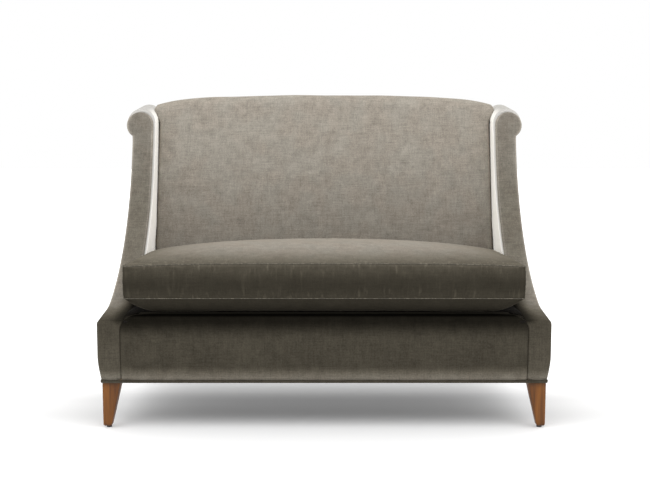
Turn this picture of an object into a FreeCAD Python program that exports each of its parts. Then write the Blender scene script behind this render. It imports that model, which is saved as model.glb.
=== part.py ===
import FreeCAD, Part

import math
import os
import re

import Sketcher

# A two-seat upholstered loveseat. Front faces -Y, +X is the viewer's right, +Z is up, and the origin
# is on the floor under the middle of the sofa. Millimetres and degrees.

SIZES = {
    # the whole sofa
    "width_over_arms": 1380,
    "depth_overall": 840,
    "back_height": 1050,
    "leg_height": 141,
    "platform_height": 353,
    "back_recline": 15,
    "rear_recline": 7.5,
    # upholstery layers
    "cover_thickness": 5,
    "facing_thickness": 14,
    "arm_pad_thickness": 18,
    "back_pad_thickness": 72,
    "back_cover_thickness": 4,
    "back_belly": 10,
    "band_height": 9,
    "band_proud": 1.5,
    "side_tuck": 9,
    "front_tuck": 6,
    "dust_cover_thickness": 1.5,
    # arm outline, from the front up to the scroll
    "arm_thickness": 82,
    "arm_front_height": 336.8,
    "nose_radius": 18,
    "shelf_angle": 7.5,
    "shelf_length": 132.8,
    "bend_depth": 200,
    "bend_rise": 32.2,
    "neck_setback": 201,
    "neck_drop": 162,
    "scroll_radius": 52,
    "roll_outset": 4.5,
    "scroll_overlap": 38,
    "roll_rise": 8,
    # back outline
    "back_top_thickness": 105,
    "back_crest_drop": 37,
    "back_top_front_drop": 46,
    "back_top_rear_drop": 40,
    "back_shoulder_width": 14,
    # frame timber
    "rail_thickness": 25,
    "ply_thickness": 15,
    "base_rail_height": 55,
    "post_thickness": 30,
    "spacer_length": 45,
    "mid_spacer_depth": 330,
    "mid_spacer_height": 170,
    "rear_spacer_room": 108,
    "top_rail_height": 40,
    "top_rail_cover": 20,
    "bottom_rail_height": 50,
    "bottom_rail_rise": 30,
    "upright_width": 40,
    "corner_block_leg": 80,
    "corner_block_height": 40,
    "corner_block_lift": 8,
    "centre_rail_height": 46,
    "core_radius": 30,
    "core_neck_start": 20,
    "core_neck_length": 120,
    "core_neck_drop": 115,
    # seat suspension
    "deck_thickness": 20,
    "hessian_thickness": 1.5,
    "wire_diameter": 3.8,
    "clip_thickness": 1.2,
    "clip_length": 16,
    "spring_width": 56,
    "spring_run_pitch": 30,
    "spring_side_room": 90,
    "webbing_thickness": 1.5,
    "webbing_width": 50,
    # front border
    "border_cap_depth": 60,
    "border_overlap": 10,
    "border_corner_radius": 50,
    "border_edge_radius": 22,
    "arm_pad_depth": 80,
    # loose cushion
    "cushion_overhang": 18,
    "cushion_boxing": 100,
    "cushion_drop": 50,
    "cushion_crown": 56,
    "cushion_side_gap": 5,
    "cushion_rear_gap": 14,
    "boxing_bulge": 8,
    "front_draw_in": 5,
    "cushion_bottom_round": 80,
    "cushion_cover_thickness": 2.5,
    "running_gap": 0.3,
    "zip_end_room": 123,
    "zip_tape_width": 30,
    "zip_tape_thickness": 1,
    "zip_slider_length": 12,
    "zip_slider_width": 8,
    "zip_slider_thickness": 3,
    # legs
    "leg_top_width": 54,
    "leg_tip_width": 25,
    "leg_tip_inset": 3,
    "leg_side_inset": 13,
    "leg_front_inset": 12,
    "leg_rear_inset": 10,
    "rear_leg_rake": 45,
    "leg_tip_chamfer": 4,
    "glide_height": 5,
    "glide_radius": 8,
    "bolt_diameter": 8,
    "bolt_depth": 32,
}

# Places along the back's half width, and the share of the crest's drop that it has there.
BACK_CREST_SHARES = {0.0: 0.0, 0.35: 0.05, 0.66: 0.18, 0.84: 0.42, 0.93: 0.62, 1.0: 1.0}
# Places along the cushion's half width, and the shares of its crown and of its drop there.
CUSHION_CROWN_SHARES = {
    0.0: (1.0, 1.0), 0.37: (0.96, 1.0), 0.57: (0.88, 1.0), 0.7: (0.78, 0.99), 0.818: (0.64, 0.96),
    0.897: (0.5, 0.86), 0.942: (0.38, 0.64), 0.98: (0.2, 0.3), 1.0: (0.06, 0.07),
}
CREST_DEPTH_SHARE = 0.46
BELLY_LOSS_SHARE = 0.8
REAR_DROP_SHARE = 0.2
SPRING_COUNT = 8
BACK_STRAP_COUNT = 7
BACK_CROSS_STRAP_COUNT = 4

# Sizes that follow from the sizes above, in the order in which they are worked out.
LAYOUT = {
    "front_y": "cushion_overhang - depth_overall / 2",
    "frame_front_y": "front_y + facing_thickness",
    "rail_back_y": "frame_front_y + rail_thickness",
    "arm_outer_x": "width_over_arms / 2",
    "arm_inner_x": "arm_outer_x - arm_thickness",
    "ply_inner_x": "arm_inner_x + arm_pad_thickness",
    "ply_outer_x": "arm_outer_x - cover_thickness",
    "rail_outer_x": "ply_outer_x - side_tuck",
    "foot_outer_x": "arm_outer_x - side_tuck",
    "spacer_inner_x": "ply_inner_x + ply_thickness",
    "spacer_outer_x": "ply_outer_x - ply_thickness",
    "post_inner_x": "ply_inner_x - post_thickness",
    "roll_centre_x": "(ply_inner_x + ply_outer_x) / 2 + roll_outset",
    "roll_radius": "roll_centre_x - arm_inner_x",
    "cover_bottom_z": "leg_height + band_height",
    "base_top_z": "leg_height + base_rail_height",
    "deck_base_z": "platform_height - deck_thickness",
    "wire_z": "deck_base_z - hessian_thickness - wire_diameter / 2",
    "rail_top_z": "wire_z - wire_diameter / 2 - clip_thickness",
    # the cushion's seams, and the lines of the back at height zero with their slopes
    "low_seam_z": "platform_height + cushion_drop",
    "high_seam_z": "low_seam_z + cushion_boxing",
    "back_slope": "tan(back_recline)",
    "back_crest_setback": "back_top_front_drop * cos(back_recline) / (1 - sin(back_recline))",
    "rear_slope": "tan(rear_recline)",
    "face_foot_y": "depth_overall / 2 - back_top_thickness"
                   " - (back_height - back_top_front_drop) * back_slope",
    "pad_foot_y": "face_foot_y + back_pad_thickness / cos(back_recline)",
    "post_foot_y": "pad_foot_y + 2 * webbing_thickness / cos(back_recline)",
    "rear_top_z": "back_height - back_top_rear_drop",
    "rear_foot_y": "depth_overall / 2 - rear_top_z * rear_slope",
    "frame_rear_foot_y": "rear_foot_y - cover_thickness / cos(rear_recline)",
    "rear_base_y": "frame_rear_foot_y + leg_height * rear_slope",
    "rail_cap_z": "rear_top_z - top_rail_cover",
    # the arm's outline: nose, shelf, bend and sweep, each tangent to the last
    "nose_centre_z": "arm_front_height - nose_radius",
    "nose_end_y": "front_y + nose_radius * (1 - sin(shelf_angle))",
    "nose_end_z": "nose_centre_z + nose_radius * cos(shelf_angle)",
    "shelf_end_y": "nose_end_y + shelf_length * cos(shelf_angle)",
    "shelf_end_z": "nose_end_z + shelf_length * sin(shelf_angle)",
    "bend_end_y": "front_y + bend_depth",
    "bend_end_z": "arm_front_height + bend_rise",
    "bend_chord_angle": "atan2(bend_end_z - shelf_end_z; bend_end_y - shelf_end_y)",
    "bend_end_angle": "2 * bend_chord_angle - shelf_angle",
    "bend_radius": "hypot(bend_end_y - shelf_end_y; bend_end_z - shelf_end_z)"
                   " / (2 * sin(bend_chord_angle - shelf_angle))",
    "neck_y": "depth_overall / 2 - neck_setback",
    "neck_z": "back_height - neck_drop",
    "sweep_chord_angle": "atan2(neck_z - bend_end_z; neck_y - bend_end_y)",
    "neck_angle": "2 * sweep_chord_angle - bend_end_angle",
    "sweep_radius": "hypot(neck_y - bend_end_y; neck_z - bend_end_z)"
                    " / (2 * sin(sweep_chord_angle - bend_end_angle))",
    # the scroll's front centre, and the point of its back face behind that
    "scroll_y": "neck_y + scroll_radius * cos(neck_angle)",
    "scroll_z": "neck_z + scroll_radius * sin(neck_angle)",
    "scroll_back_y": "scroll_y + facing_thickness * sin(neck_angle)",
    "scroll_back_z": "scroll_z - facing_thickness * cos(neck_angle)",
    "roll_slope": "tan(roll_rise)",
    "roll_foot_z": "scroll_z - scroll_y * roll_slope",
    "roll_rear_y": "(frame_rear_foot_y + rear_slope * roll_foot_z) / (1 - rear_slope * roll_slope)",
    "roll_rear_z": "roll_foot_z + roll_rear_y * roll_slope",
    "inner_ply_drop": "sqrt(roll_radius^2 - (spacer_inner_x - roll_centre_x)^2) / cos(roll_rise)",
    "outer_ply_drop": "sqrt(roll_radius^2 - (spacer_outer_x - roll_centre_x)^2) / cos(roll_rise)",
    "panel_top_drop": "sqrt(roll_radius^2 - (ply_outer_x - roll_centre_x)^2) / cos(roll_rise)",
    # the cushion and the legs
    "cushion_half_width": "arm_inner_x - cushion_side_gap",
    "cushion_front_y": "boxing_bulge - depth_overall / 2",
    "zip_half_length": "cushion_half_width - zip_end_room",
    "zip_plane_y": "face_foot_y - cushion_rear_gap / cos(back_recline)",
    "leg_x": "arm_outer_x - leg_side_inset - leg_top_width / 2",
    "leg_front_y": "front_y + leg_front_inset + leg_top_width / 2",
    "leg_rear_y": "rear_base_y - leg_rear_inset - leg_top_width / 2",
    "tip_shift": "(leg_top_width - leg_tip_width) / 2 - leg_tip_inset",
}

document = FreeCAD.newDocument("loveseat")
sheet = document.addObject("Spreadsheet::Sheet", "Sizes")
for row, (alias, size) in enumerate(SIZES.items(), start=1):
    sheet.set(f"A{row}", str(size))
    sheet.setAlias(f"A{row}", alias)
layout = document.addObject("App::FeaturePython", "Layout")


def formula(text):
    """The text with each size written as the document's expressions name it."""
    def owned(match):
        return ("Sizes." if match[0] in SIZES else "Layout.") + match[0]

    return re.sub(r"[a-z]+(?:_[a-z]+)+", owned, str(text))


for alias, text in LAYOUT.items():
    layout.addProperty("App::PropertyFloat", alias)
    layout.setExpression(alias, formula(text))
document.recompute()


def value(text):
    """The number that an expression gives with the sheet's present sizes."""
    return float(layout.evalExpression(formula(text)))


NODES = {}


def node(name, item):
    item.Label = name
    NODES[name] = item


def bind(item, **expressions):
    """Tie properties to the sheet. A double underscore in a keyword stands for a dot."""
    for path, text in expressions.items():
        item.setExpression(path.replace("__", "."), formula(text))
    return item


def block(name, x, y, z, length, width, height, lean=None):
    """A box from its low corner, leaning back about that corner's X line when lean names an angle."""
    box = document.addObject("Part::Box", name)
    bind(box, Length=length, Width=width, Height=height)
    turn = "rotation(vector(1; 0; 0); 0)" if lean is None else f"rotation(vector(1; 0; 0); -({lean}))"
    box.setExpression("Placement", formula(f"placement(vector({x}; {y}; {z}); {turn})"))
    return box


def rod(name, radius, length, x, y, z, turn="0"):
    """A cylinder from the centre of its foot, turned about X from upright."""
    cylinder = document.addObject("Part::Cylinder", name)
    bind(cylinder, Radius=radius, Height=length)
    cylinder.setExpression(
        "Placement", formula(f"placement(vector({x}; {y}; {z}); rotation(vector(1; 0; 0); {turn}))"))
    return cylinder


def sketch_on(body, name, role, loops):
    """A sketch on an origin plane. Each corner is a pair of expressions, followed by "left" or "right" and
    a radius where an arc that turns that way leaves it. Every corner and radius is bound to the sheet."""
    sketch = body.newObject("Sketcher::SketchObject", name)
    plane = next(feature for feature in body.Origin.OriginFeatures if feature.Role == role)
    sketch.AttachmentSupport = [(plane, "")]
    sketch.MapMode = "FlatFace"
    for loop in loops:
        corners = [FreeCAD.Vector(value(corner[0]), value(corner[1]), 0) for corner in loop]
        first = sketch.GeometryCount
        for index, corner in enumerate(loop):
            start, end = corners[index], corners[(index + 1) % len(loop)]
            if len(corner) == 2:
                sketch.addGeometry(Part.LineSegment(start, end), False)
            else:
                middle = arc_middle(start, end, value(corner[3]), corner[2])
                ends = (start, end) if corner[2] == "left" else (end, start)
                sketch.addGeometry(Part.Arc(ends[0], middle, ends[1]), False)
        for index, corner in enumerate(loop):
            here, before = first + index, first + (index - 1) % len(loop)
            side = point_index(sketch, here, corners[index])
            sketch.addConstraint(Sketcher.Constraint(
                "Coincident", before, point_index(sketch, before, corners[index]), here, side))
            for kind, text, size in zip(("DistanceX", "DistanceY"), corner, corners[index]):
                number = sketch.addConstraint(Sketcher.Constraint(kind, -1, 1, here, side, size))
                sketch.setExpression(f"Constraints[{number}]", formula(text))
            if len(corner) > 2:
                number = sketch.addConstraint(Sketcher.Constraint("Radius", here, value(corner[3])))
                sketch.setExpression(f"Constraints[{number}]", formula(corner[3]))
    return sketch


def point_index(sketch, edge, corner):
    """Which end of a sketch edge lies at the corner, as the sketcher numbers them."""
    return 1 if sketch.Geometry[edge].StartPoint.isEqual(corner, Part.Precision.confusion()) else 2


def arc_middle(start, end, radius, turn):
    """The middle of an arc of less than half a circle that turns left or right."""
    chord = end - start
    rise = radius - math.sqrt(radius ** 2 - (chord.Length / 2) ** 2)
    outward = FreeCAD.Vector(chord.y, -chord.x, 0).normalize()
    return (start + end) / 2 + outward * (rise if turn == "left" else -rise)


def prism(name, role, loops, start, length):
    """A body padded from a sketch: along +X from YZ_Plane, +Z from XY_Plane, -Y from XZ_Plane."""
    body = document.addObject("PartDesign::Body", name)
    pad = body.newObject("PartDesign::Pad", name + "_pad")
    pad.Profile = sketch_on(body, name + "_outline", role, loops)
    bind(pad, Length=length)
    axis = {"YZ_Plane": "x", "XZ_Plane": "y", "XY_Plane": "z"}[role]
    body.setExpression(f"Placement.Base.{axis}", formula(start))
    return body


def cut(name, base, *tools):
    for index, tool in enumerate(tools):
        result = document.addObject("Part::Cut", f"{name}_cut_{index}")
        result.Base, result.Tool = base, tool
        base = result
    return base


def common(name, base, tool):
    result = document.addObject("Part::Common", name)
    result.Base, result.Tool = base, tool
    return result


def fuse(name, *parts):
    result = document.addObject("Part::MultiFuse", name)
    result.Shapes = list(parts)
    return result


def group(name, parts):
    result = document.addObject("Part::Compound", name)
    result.Links = list(parts)
    return result


def other_side(name, item):
    """The mirror image across the sofa's middle plane."""
    mirror = document.addObject("Part::Mirroring", name)
    mirror.Source = item
    mirror.Normal = FreeCAD.Vector(1, 0, 0)
    return mirror


def pair(name, right):
    """The right-hand piece, and its mirror image as the left-hand one."""
    node(name + "_right", right)
    node(name + "_left", other_side(name + "_mirror", right))


def set_shape(name, shape):
    """A piece whose shape is made by the functions below rather than by features."""
    item = document.addObject("Part::Feature", name)
    item.Shape = shape
    return item


def arm_edge(inset):
    """The arm's upper outline from the nose to the neck, moved into the arm by the inset."""
    return [
        (f"front_y + {inset}", "nose_centre_z", "right", f"nose_radius - {inset}"),
        (f"nose_end_y + {inset} * sin(shelf_angle)", f"nose_end_z - {inset} * cos(shelf_angle)"),
        (f"shelf_end_y + {inset} * sin(shelf_angle)", f"shelf_end_z - {inset} * cos(shelf_angle)",
         "left", f"bend_radius + {inset}"),
        (f"bend_end_y + {inset} * sin(bend_end_angle)", f"bend_end_z - {inset} * cos(bend_end_angle)",
         "left", f"sweep_radius + {inset}"),
        (f"neck_y + {inset} * sin(neck_angle)", f"neck_z - {inset} * cos(neck_angle)"),
    ]


def backwards(path):
    """The same edges in the other order, so that each arc leaves the corner at its other end."""
    other = {"left": "right", "right": "left"}
    turned = []
    for index in range(len(path) - 1, -1, -1):
        arc = path[index - 1][2:] if index else ()
        turned.append(path[index][:2] + ((other[arc[0]], arc[1]) if arc else ()))
    return turned


def roll_line_corners(drop, foot_y, lean):
    """Where a line below the roll's axis by the drop meets the scroll's back face and a leaning rear."""
    front = (f"(scroll_back_y + (roll_foot_z - {drop} - scroll_back_z) / tan(neck_angle))"
             " / (1 - roll_slope / tan(neck_angle))")
    rear = f"({foot_y} + {lean} * (roll_foot_z - {drop})) / (1 - {lean} * roll_slope)"
    return [(y, f"roll_foot_z - {drop} + roll_slope * ({y})") for y in (front, rear)]


def arm_plate(name, x, thickness, bottom, drop):
    """A flat piece of the arm's outline behind its facing, from a bottom height up to the roll."""
    outline = [("frame_front_y", bottom)] + arm_edge("facing_thickness")
    outline += roll_line_corners(drop, "frame_rear_foot_y", "rear_slope")
    outline += [(f"frame_rear_foot_y + ({bottom}) * rear_slope", bottom)]
    return prism(name, "YZ_Plane", [outline], x, thickness)


# Seat frame: four rails, a middle rail and glued corner blocks, standing on the legs. The front rail's
# upper corners are notched to pass under the noses of the arms.
rail_half = [("ply_inner_x", "leg_height"), ("ply_inner_x", "nose_centre_z"),
             ("arm_inner_x", "nose_centre_z"), ("arm_inner_x", "rail_top_z")]
rail_outline = rail_half + [("-" + x, z) for x, z in reversed(rail_half)]
node("front_rail", prism("front_rail", "XZ_Plane", [rail_outline], "rail_back_y", "rail_thickness"))
node("rear_rail", block("rear_rail", "-post_inner_x", "rear_base_y - rail_thickness", "leg_height",
                        "2 * post_inner_x", "rail_thickness", "rail_top_z - leg_height"))
node("seat_middle_rail", block("seat_middle_rail", "-rail_thickness / 2", "rail_back_y", "leg_height",
                               "rail_thickness", "rear_base_y - rail_thickness - rail_back_y",
                               "centre_rail_height"))

bolts = []
for place, y in (("front", "leg_front_y"), ("rear", "leg_rear_y")):
    bolts.append(rod(f"bolt_{place}", "bolt_diameter / 2", "2 * bolt_depth",
                     "leg_x", y, "leg_height - bolt_depth"))
base_rail = block("base_rail", "ply_inner_x", "frame_front_y", "leg_height",
                  "rail_outer_x - ply_inner_x", "rear_base_y - frame_front_y", "base_rail_height")
pair("base_rail", cut("base_rail", base_rail, *bolts))

corner_z = "leg_height + corner_block_lift"
corner_blocks = []
for place, x, y, way in (("front", "ply_inner_x", "rail_back_y", "+"),
                         ("rear", "post_inner_x", "rear_base_y - rail_thickness", "-")):
    outline = [(x, y), (x, f"{y} {way} corner_block_leg"), (f"{x} - corner_block_leg", y)]
    right_block = prism(f"corner_block_{place}", "XY_Plane", [outline], corner_z, "corner_block_height")
    corner_blocks += [right_block, other_side(f"corner_block_{place}_mirror", right_block)]
node("corner_blocks", group("corner_blocks", corner_blocks))

# Back frame: two shaped posts, scribed round the arms' rolls, three rails and a middle upright.


def roll_between_ends(name, radius):
    """A round bar on the roll's axis, cut to the scroll's back face and to the back frame's rear line."""
    reach = "(roll_rear_y - scroll_y + 2 * scroll_radius) / cos(roll_rise)"
    bar = rod(f"{name}_bar", radius, reach, "roll_centre_x", "scroll_y - scroll_radius",
              "scroll_z - scroll_radius * roll_slope", "roll_rise - 90")
    low, high = "(scroll_z - 2 * scroll_radius)", "(roll_rear_z + 2 * scroll_radius)"
    ends = [(f"scroll_back_y + ({z} - scroll_back_z) / tan(neck_angle)" if front else
             f"frame_rear_foot_y + {z} * rear_slope", z)
            for z, front in ((low, True), (low, False), (high, False), (high, True))]
    wedge = prism(f"{name}_ends", "YZ_Plane", [ends],
                  "roll_centre_x - 2 * scroll_radius", "4 * scroll_radius")
    return common(name, bar, wedge)


def core_neck(name):
    return block(name, "spacer_inner_x", "scroll_y + core_neck_start", "scroll_z - core_neck_drop",
                 "spacer_outer_x - spacer_inner_x", "core_neck_length", "core_neck_drop")


def back_frame_outline(bottom):
    """From a bottom height up to the top rail's cap, between the webbing and the outside back."""
    return [(f"post_foot_y + ({bottom}) * back_slope", bottom),
            (f"frame_rear_foot_y + ({bottom}) * rear_slope", bottom),
            ("frame_rear_foot_y + rail_cap_z * rear_slope", "rail_cap_z"),
            ("post_foot_y + rail_cap_z * back_slope", "rail_cap_z")]


post = prism("back_post", "YZ_Plane", [back_frame_outline("leg_height")], "post_inner_x", "post_thickness")
pair("back_post", cut("back_post", post, roll_between_ends("back_post_roll", "roll_radius")))
node("back_top_rail", prism("back_top_rail", "YZ_Plane", [back_frame_outline("rail_cap_z - top_rail_height")],
                            "-post_inner_x", "2 * post_inner_x"))
bottom_rail_z = "platform_height + bottom_rail_rise"
node("back_bottom_rail", block("back_bottom_rail", "-post_inner_x",
                               f"post_foot_y + ({bottom_rail_z}) * back_slope", bottom_rail_z,
                               "2 * post_inner_x", "rail_thickness", "bottom_rail_height", "back_recline"))
upright_z = f"({bottom_rail_z} + bottom_rail_height * cos(back_recline))"
upright_length = f"(rail_cap_z - top_rail_height - {upright_z}) / cos(back_recline)"
node("back_upright", block("back_upright", "-upright_width / 2",
                           f"post_foot_y + {upright_z} * back_slope", upright_z,
                           "upright_width", "rail_thickness", upright_length, "back_recline"))

# Arm frame: two plywood sides with spacers between them, and the turned core of the roll.
for name, x, drop in (("arm_ply_inner", "ply_inner_x", "inner_ply_drop"),
                      ("arm_ply_outer", "spacer_outer_x", "outer_ply_drop")):
    pair(name, arm_plate(name, x, "ply_thickness", "base_top_z", drop))
spacers = []
for place, y, height in (
        ("front", "frame_front_y", "nose_centre_z - base_top_z"),
        ("middle", "front_y + mid_spacer_depth", "mid_spacer_height"),
        ("rear", "frame_rear_foot_y + base_top_z * rear_slope - spacer_length",
         "scroll_z - core_neck_drop - rear_spacer_room - base_top_z")):
    spacers.append(block(f"arm_spacer_{place}", "spacer_inner_x", y, "base_top_z",
                         "spacer_outer_x - spacer_inner_x", "spacer_length", height))
pair("arm_spacers", group("arm_spacers", spacers))


pair("roll_core", fuse("roll_core", roll_between_ends("roll_core_round", "core_radius"),
                       core_neck("roll_core_neck")))

# Seat suspension: zigzag wires on clips, hessian over them, then the deck.
spring_front = "rail_back_y - clip_length"
spring_reach = f"rear_base_y - rail_thickness + clip_length - ({spring_front})"
spring_runs = round(value(spring_reach) / value("spring_run_pitch"))
spring_rear = f"{spring_front} + {spring_runs - 1} * spring_run_pitch"


def straight(*points):
    return [Part.LineSegment(a, b).toShape() for a, b in zip(points, points[1:])]


def zigzag_wire(width, pitch, runs, diameter):
    """One zigzag spring lying flat: straight runs across, joined by half turns in two quarters each."""
    bend = pitch / 2
    side = width / 2 - bend
    edges = []
    for run in range(runs):
        y, way = run * pitch, 1 if run % 2 == 0 else -1
        edges += straight(FreeCAD.Vector(-way * side, y, 0), FreeCAD.Vector(way * side, y, 0))
        if run < runs - 1:
            centre = FreeCAD.Vector(way * side, y + bend, 0)
            for first in (-90, 0):
                angles = [math.radians(first + step) for step in (0, 45, 90)]
                edges.append(Part.Arc(*[
                    centre + FreeCAD.Vector(way * bend * math.cos(angle), bend * math.sin(angle), 0)
                    for angle in angles]).toShape())
    path = Part.Wire(edges)
    circle = Part.Circle(FreeCAD.Vector(-side, 0, 0), FreeCAD.Vector(1, 0, 0), diameter / 2)
    pipe = path.makePipeShell([Part.Wire(circle.toShape())], True, False)
    print("zigzag spring: length", round(path.Length), "volume over section times length",
          round(pipe.Volume / (path.Length * math.pi * diameter ** 2 / 4), 4),
          "gap between runs", round(pitch - diameter, 2))
    return pipe


spring = zigzag_wire(value("spring_width"), value("spring_run_pitch"), spring_runs, value("wire_diameter"))
springs, clips = [], []
for index in range(SPRING_COUNT):
    x = f"(post_inner_x - spring_side_room) * {2 * index / (SPRING_COUNT - 1) - 1}"
    wire = set_shape(f"spring_{index}", spring)
    wire.Placement = FreeCAD.Placement(
        FreeCAD.Vector(value(x), value(spring_front), value("wire_z")), FreeCAD.Rotation())
    springs.append(wire)
    for place, y in (("front", spring_front), ("rear", spring_rear)):
        clips.append(block(f"clip_{place}_{index}", f"{x} - spring_width / 2", f"{y} - clip_length / 2",
                           "rail_top_z", "spring_width", "clip_length", "clip_thickness"))
node("seat_springs", group("seat_springs", springs))
node("spring_clips", group("spring_clips", clips))
deck_rear_y = "post_foot_y + (deck_base_z - hessian_thickness) * back_slope"
for name, z, thickness in (("seat_hessian", "deck_base_z - hessian_thickness", "hessian_thickness"),
                           ("seat_deck", "deck_base_z", "deck_thickness")):
    y = "front_y + border_cap_depth"
    node(name, block(name, "-arm_inner_x", y, z, "2 * arm_inner_x", f"{deck_rear_y} - ({y})", thickness))

# Back suspension: upright straps in front of crosswise ones, tacked to the posts and rails.
strap_z = "(platform_height + bottom_rail_rise)"
strap_rise = f"(rail_cap_z - {strap_z}) / cos(back_recline)"
straps = []
for index in range(BACK_STRAP_COUNT):
    x = f"(post_inner_x - webbing_width) * {2 * index / (BACK_STRAP_COUNT - 1) - 1} - webbing_width / 2"
    straps.append(block(f"back_strap_{index}", x, f"pad_foot_y + {strap_z} * back_slope", strap_z,
                        "webbing_width", "webbing_thickness", strap_rise, "back_recline"))
for index in range(BACK_CROSS_STRAP_COUNT):
    z = f"({strap_z} + (rail_cap_z - {strap_z}) * {(index + 1) / (BACK_CROSS_STRAP_COUNT + 1)})"
    straps.append(block(f"back_cross_strap_{index}", "-arm_inner_x",
                        f"pad_foot_y + {z} * back_slope + webbing_thickness * cos(back_recline)",
                        f"{z} - webbing_thickness * sin(back_recline)",
                        "2 * arm_inner_x", "webbing_thickness", "webbing_width", "back_recline"))
node("back_webbing", group("back_webbing", straps))

# Outside covers of the arms, drawn in at the foot, their padded insides, the rolls, and the facings.
arm_panel = arm_plate("arm_panel", "ply_outer_x", "cover_thickness", "base_top_z", "panel_top_drop")
panel_foot = prism("arm_panel_foot", "XZ_Plane", [[
    ("ply_outer_x", "base_top_z"), ("arm_outer_x", "base_top_z"), ("foot_outer_x", "cover_bottom_z"),
    ("rail_outer_x", "cover_bottom_z")]], "depth_overall", "2 * depth_overall")
panel_reach = prism("arm_panel_reach", "YZ_Plane", [[
    ("frame_front_y", "cover_bottom_z"), ("frame_front_y", "base_top_z"),
    ("frame_rear_foot_y + base_top_z * rear_slope", "base_top_z"),
    ("frame_rear_foot_y + cover_bottom_z * rear_slope", "cover_bottom_z")]], "0", "2 * arm_outer_x")
pair("outside_arm", fuse("outside_arm", arm_panel, common("arm_panel_tuck", panel_foot, panel_reach)))

pad_bottom_z = "rail_top_z - arm_pad_depth"
shelf_run = "(rail_back_y - nose_end_y - facing_thickness * sin(shelf_angle))"
inside_outline = [
    ("rail_back_y", pad_bottom_z),
    ("rail_back_y", f"nose_end_z - facing_thickness * cos(shelf_angle) + {shelf_run} * tan(shelf_angle)"),
] + arm_edge("facing_thickness")[2:]
inside_outline += roll_line_corners("0", "post_foot_y", "back_slope")
inside_outline += [(f"post_foot_y + ({pad_bottom_z}) * back_slope", pad_bottom_z)]
inside_arm = prism("inside_arm", "YZ_Plane", [inside_outline], "arm_inner_x", "arm_pad_thickness")
pair("inside_arm", cut("inside_arm", inside_arm, roll_between_ends("inside_arm_roll", "roll_radius")))

pair("arm_roll", cut("arm_roll", roll_between_ends("arm_roll_outside", "roll_radius"),
                     roll_between_ends("arm_roll_bore", "core_radius"), core_neck("arm_roll_slot")))

border_end_x = "(arm_inner_x + border_overlap)"
border_front = [
    (f"-{border_end_x}", "cover_bottom_z"), (border_end_x, "cover_bottom_z"),
    (border_end_x, "platform_height - border_corner_radius", "left", "border_corner_radius"),
    (f"{border_end_x} - border_corner_radius", "platform_height"),
    (f"border_corner_radius - {border_end_x}", "platform_height", "left", "border_corner_radius"),
    (f"-{border_end_x}", "platform_height - border_corner_radius"),
]
border_side = [
    ("front_y", "base_top_z"), ("front_y + front_tuck", "cover_bottom_z"),
    ("frame_front_y", "cover_bottom_z"), ("frame_front_y", "deck_base_z"),
    ("front_y + border_cap_depth", "deck_base_z"), ("front_y + border_cap_depth", "platform_height"),
    ("front_y + border_edge_radius", "platform_height", "left", "border_edge_radius"),
    ("front_y", "platform_height - border_edge_radius"),
]
border_seen = prism("border_front", "XZ_Plane", [border_front],
                    "front_y + border_cap_depth", "border_cap_depth")
border = common("border_blank", border_seen,
                prism("border_side", "YZ_Plane", [border_side], "-arm_outer_x", "2 * arm_outer_x"))
border_end = block("border_end", "arm_inner_x", "frame_front_y", "deck_base_z - deck_thickness",
                   "arm_thickness", "border_cap_depth", "2 * deck_thickness")
front_border = cut("front_border", border, border_end, other_side("border_end_mirror", border_end))
node("front_border", front_border)


def scroll_end(inset):
    """Where the facing strip ends under the scroll, past the neck and straight on from it."""
    y, z = arm_edge(inset)[-1]
    return [(f"{y} + scroll_overlap * cos(neck_angle)", f"{z} + scroll_overlap * sin(neck_angle)")]


facing_outline = ([("front_y + front_tuck", "cover_bottom_z"), ("front_y", "base_top_z")]
                  + arm_edge("0") + scroll_end("0")
                  + scroll_end("facing_thickness") + backwards(arm_edge("facing_thickness"))
                  + [("frame_front_y", "cover_bottom_z")])
facing_strip = prism("facing_strip", "YZ_Plane", [facing_outline], "arm_inner_x", "arm_thickness")
scroll = rod("scroll", "scroll_radius", "facing_thickness", "roll_centre_x", "scroll_y", "scroll_z",
             "neck_angle - 180")
beside_foot = prism("beside_facing_foot", "XZ_Plane", [[
    ("arm_outer_x", "base_top_z"), ("foot_outer_x", "cover_bottom_z"), ("foot_outer_x", "0"),
    ("2 * arm_outer_x", "0"), ("2 * arm_outer_x", "base_top_z")]], "depth_overall", "2 * depth_overall")
pair("arm_facing", cut("arm_facing", fuse("facing_with_scroll", facing_strip, scroll),
                       front_border, beside_foot))

# The back: foam over the webbing and the top rail, its cover, and the board behind.


def back_path(x_share, inset):
    """The padded back's outline at one place across it, moved in by the inset: its front face, then its
    top in two arcs that end at the outside back."""
    low, drop = value("platform_height"), value("back_crest_drop") * BACK_CREST_SHARES[x_share]
    front_z = value("back_height - back_top_front_drop") - drop
    crest = FreeCAD.Vector(0, value("face_foot_y + (back_height - back_top_front_drop) * back_slope"
                                    " + back_crest_setback"), value("back_height") - drop - inset)
    rear_z = value("rear_top_z") - drop * REAR_DROP_SHARE - inset
    slant = value("cos(back_recline)")

    def face(z):
        return FreeCAD.Vector(0, value("face_foot_y") + z * value("back_slope") + inset / slant, z)

    belly = face((low + front_z) / 2)
    belly.y -= value("back_belly") * (1 - BELLY_LOSS_SHARE * x_share ** 2)
    rear = FreeCAD.Vector(0, value("frame_rear_foot_y") + rear_z * value("rear_slope"), rear_z)
    return [face(low), belly, face(front_z), crest, rear]


def quarter(start, end, level_at_end):
    """An arc from start to end that lies level at one of them."""
    level, other = (end, start) if level_at_end else (start, end)
    run, fall = other.y - level.y, level.z - other.z
    radius = (run ** 2 + fall ** 2) / (2 * fall)
    turn = math.copysign(math.acos(1 - fall / radius), run) / 2
    middle = FreeCAD.Vector(0, level.y + radius * math.sin(turn), level.z - radius * (1 - math.cos(turn)))
    return Part.Arc(start, middle, end).toShape()


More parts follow.
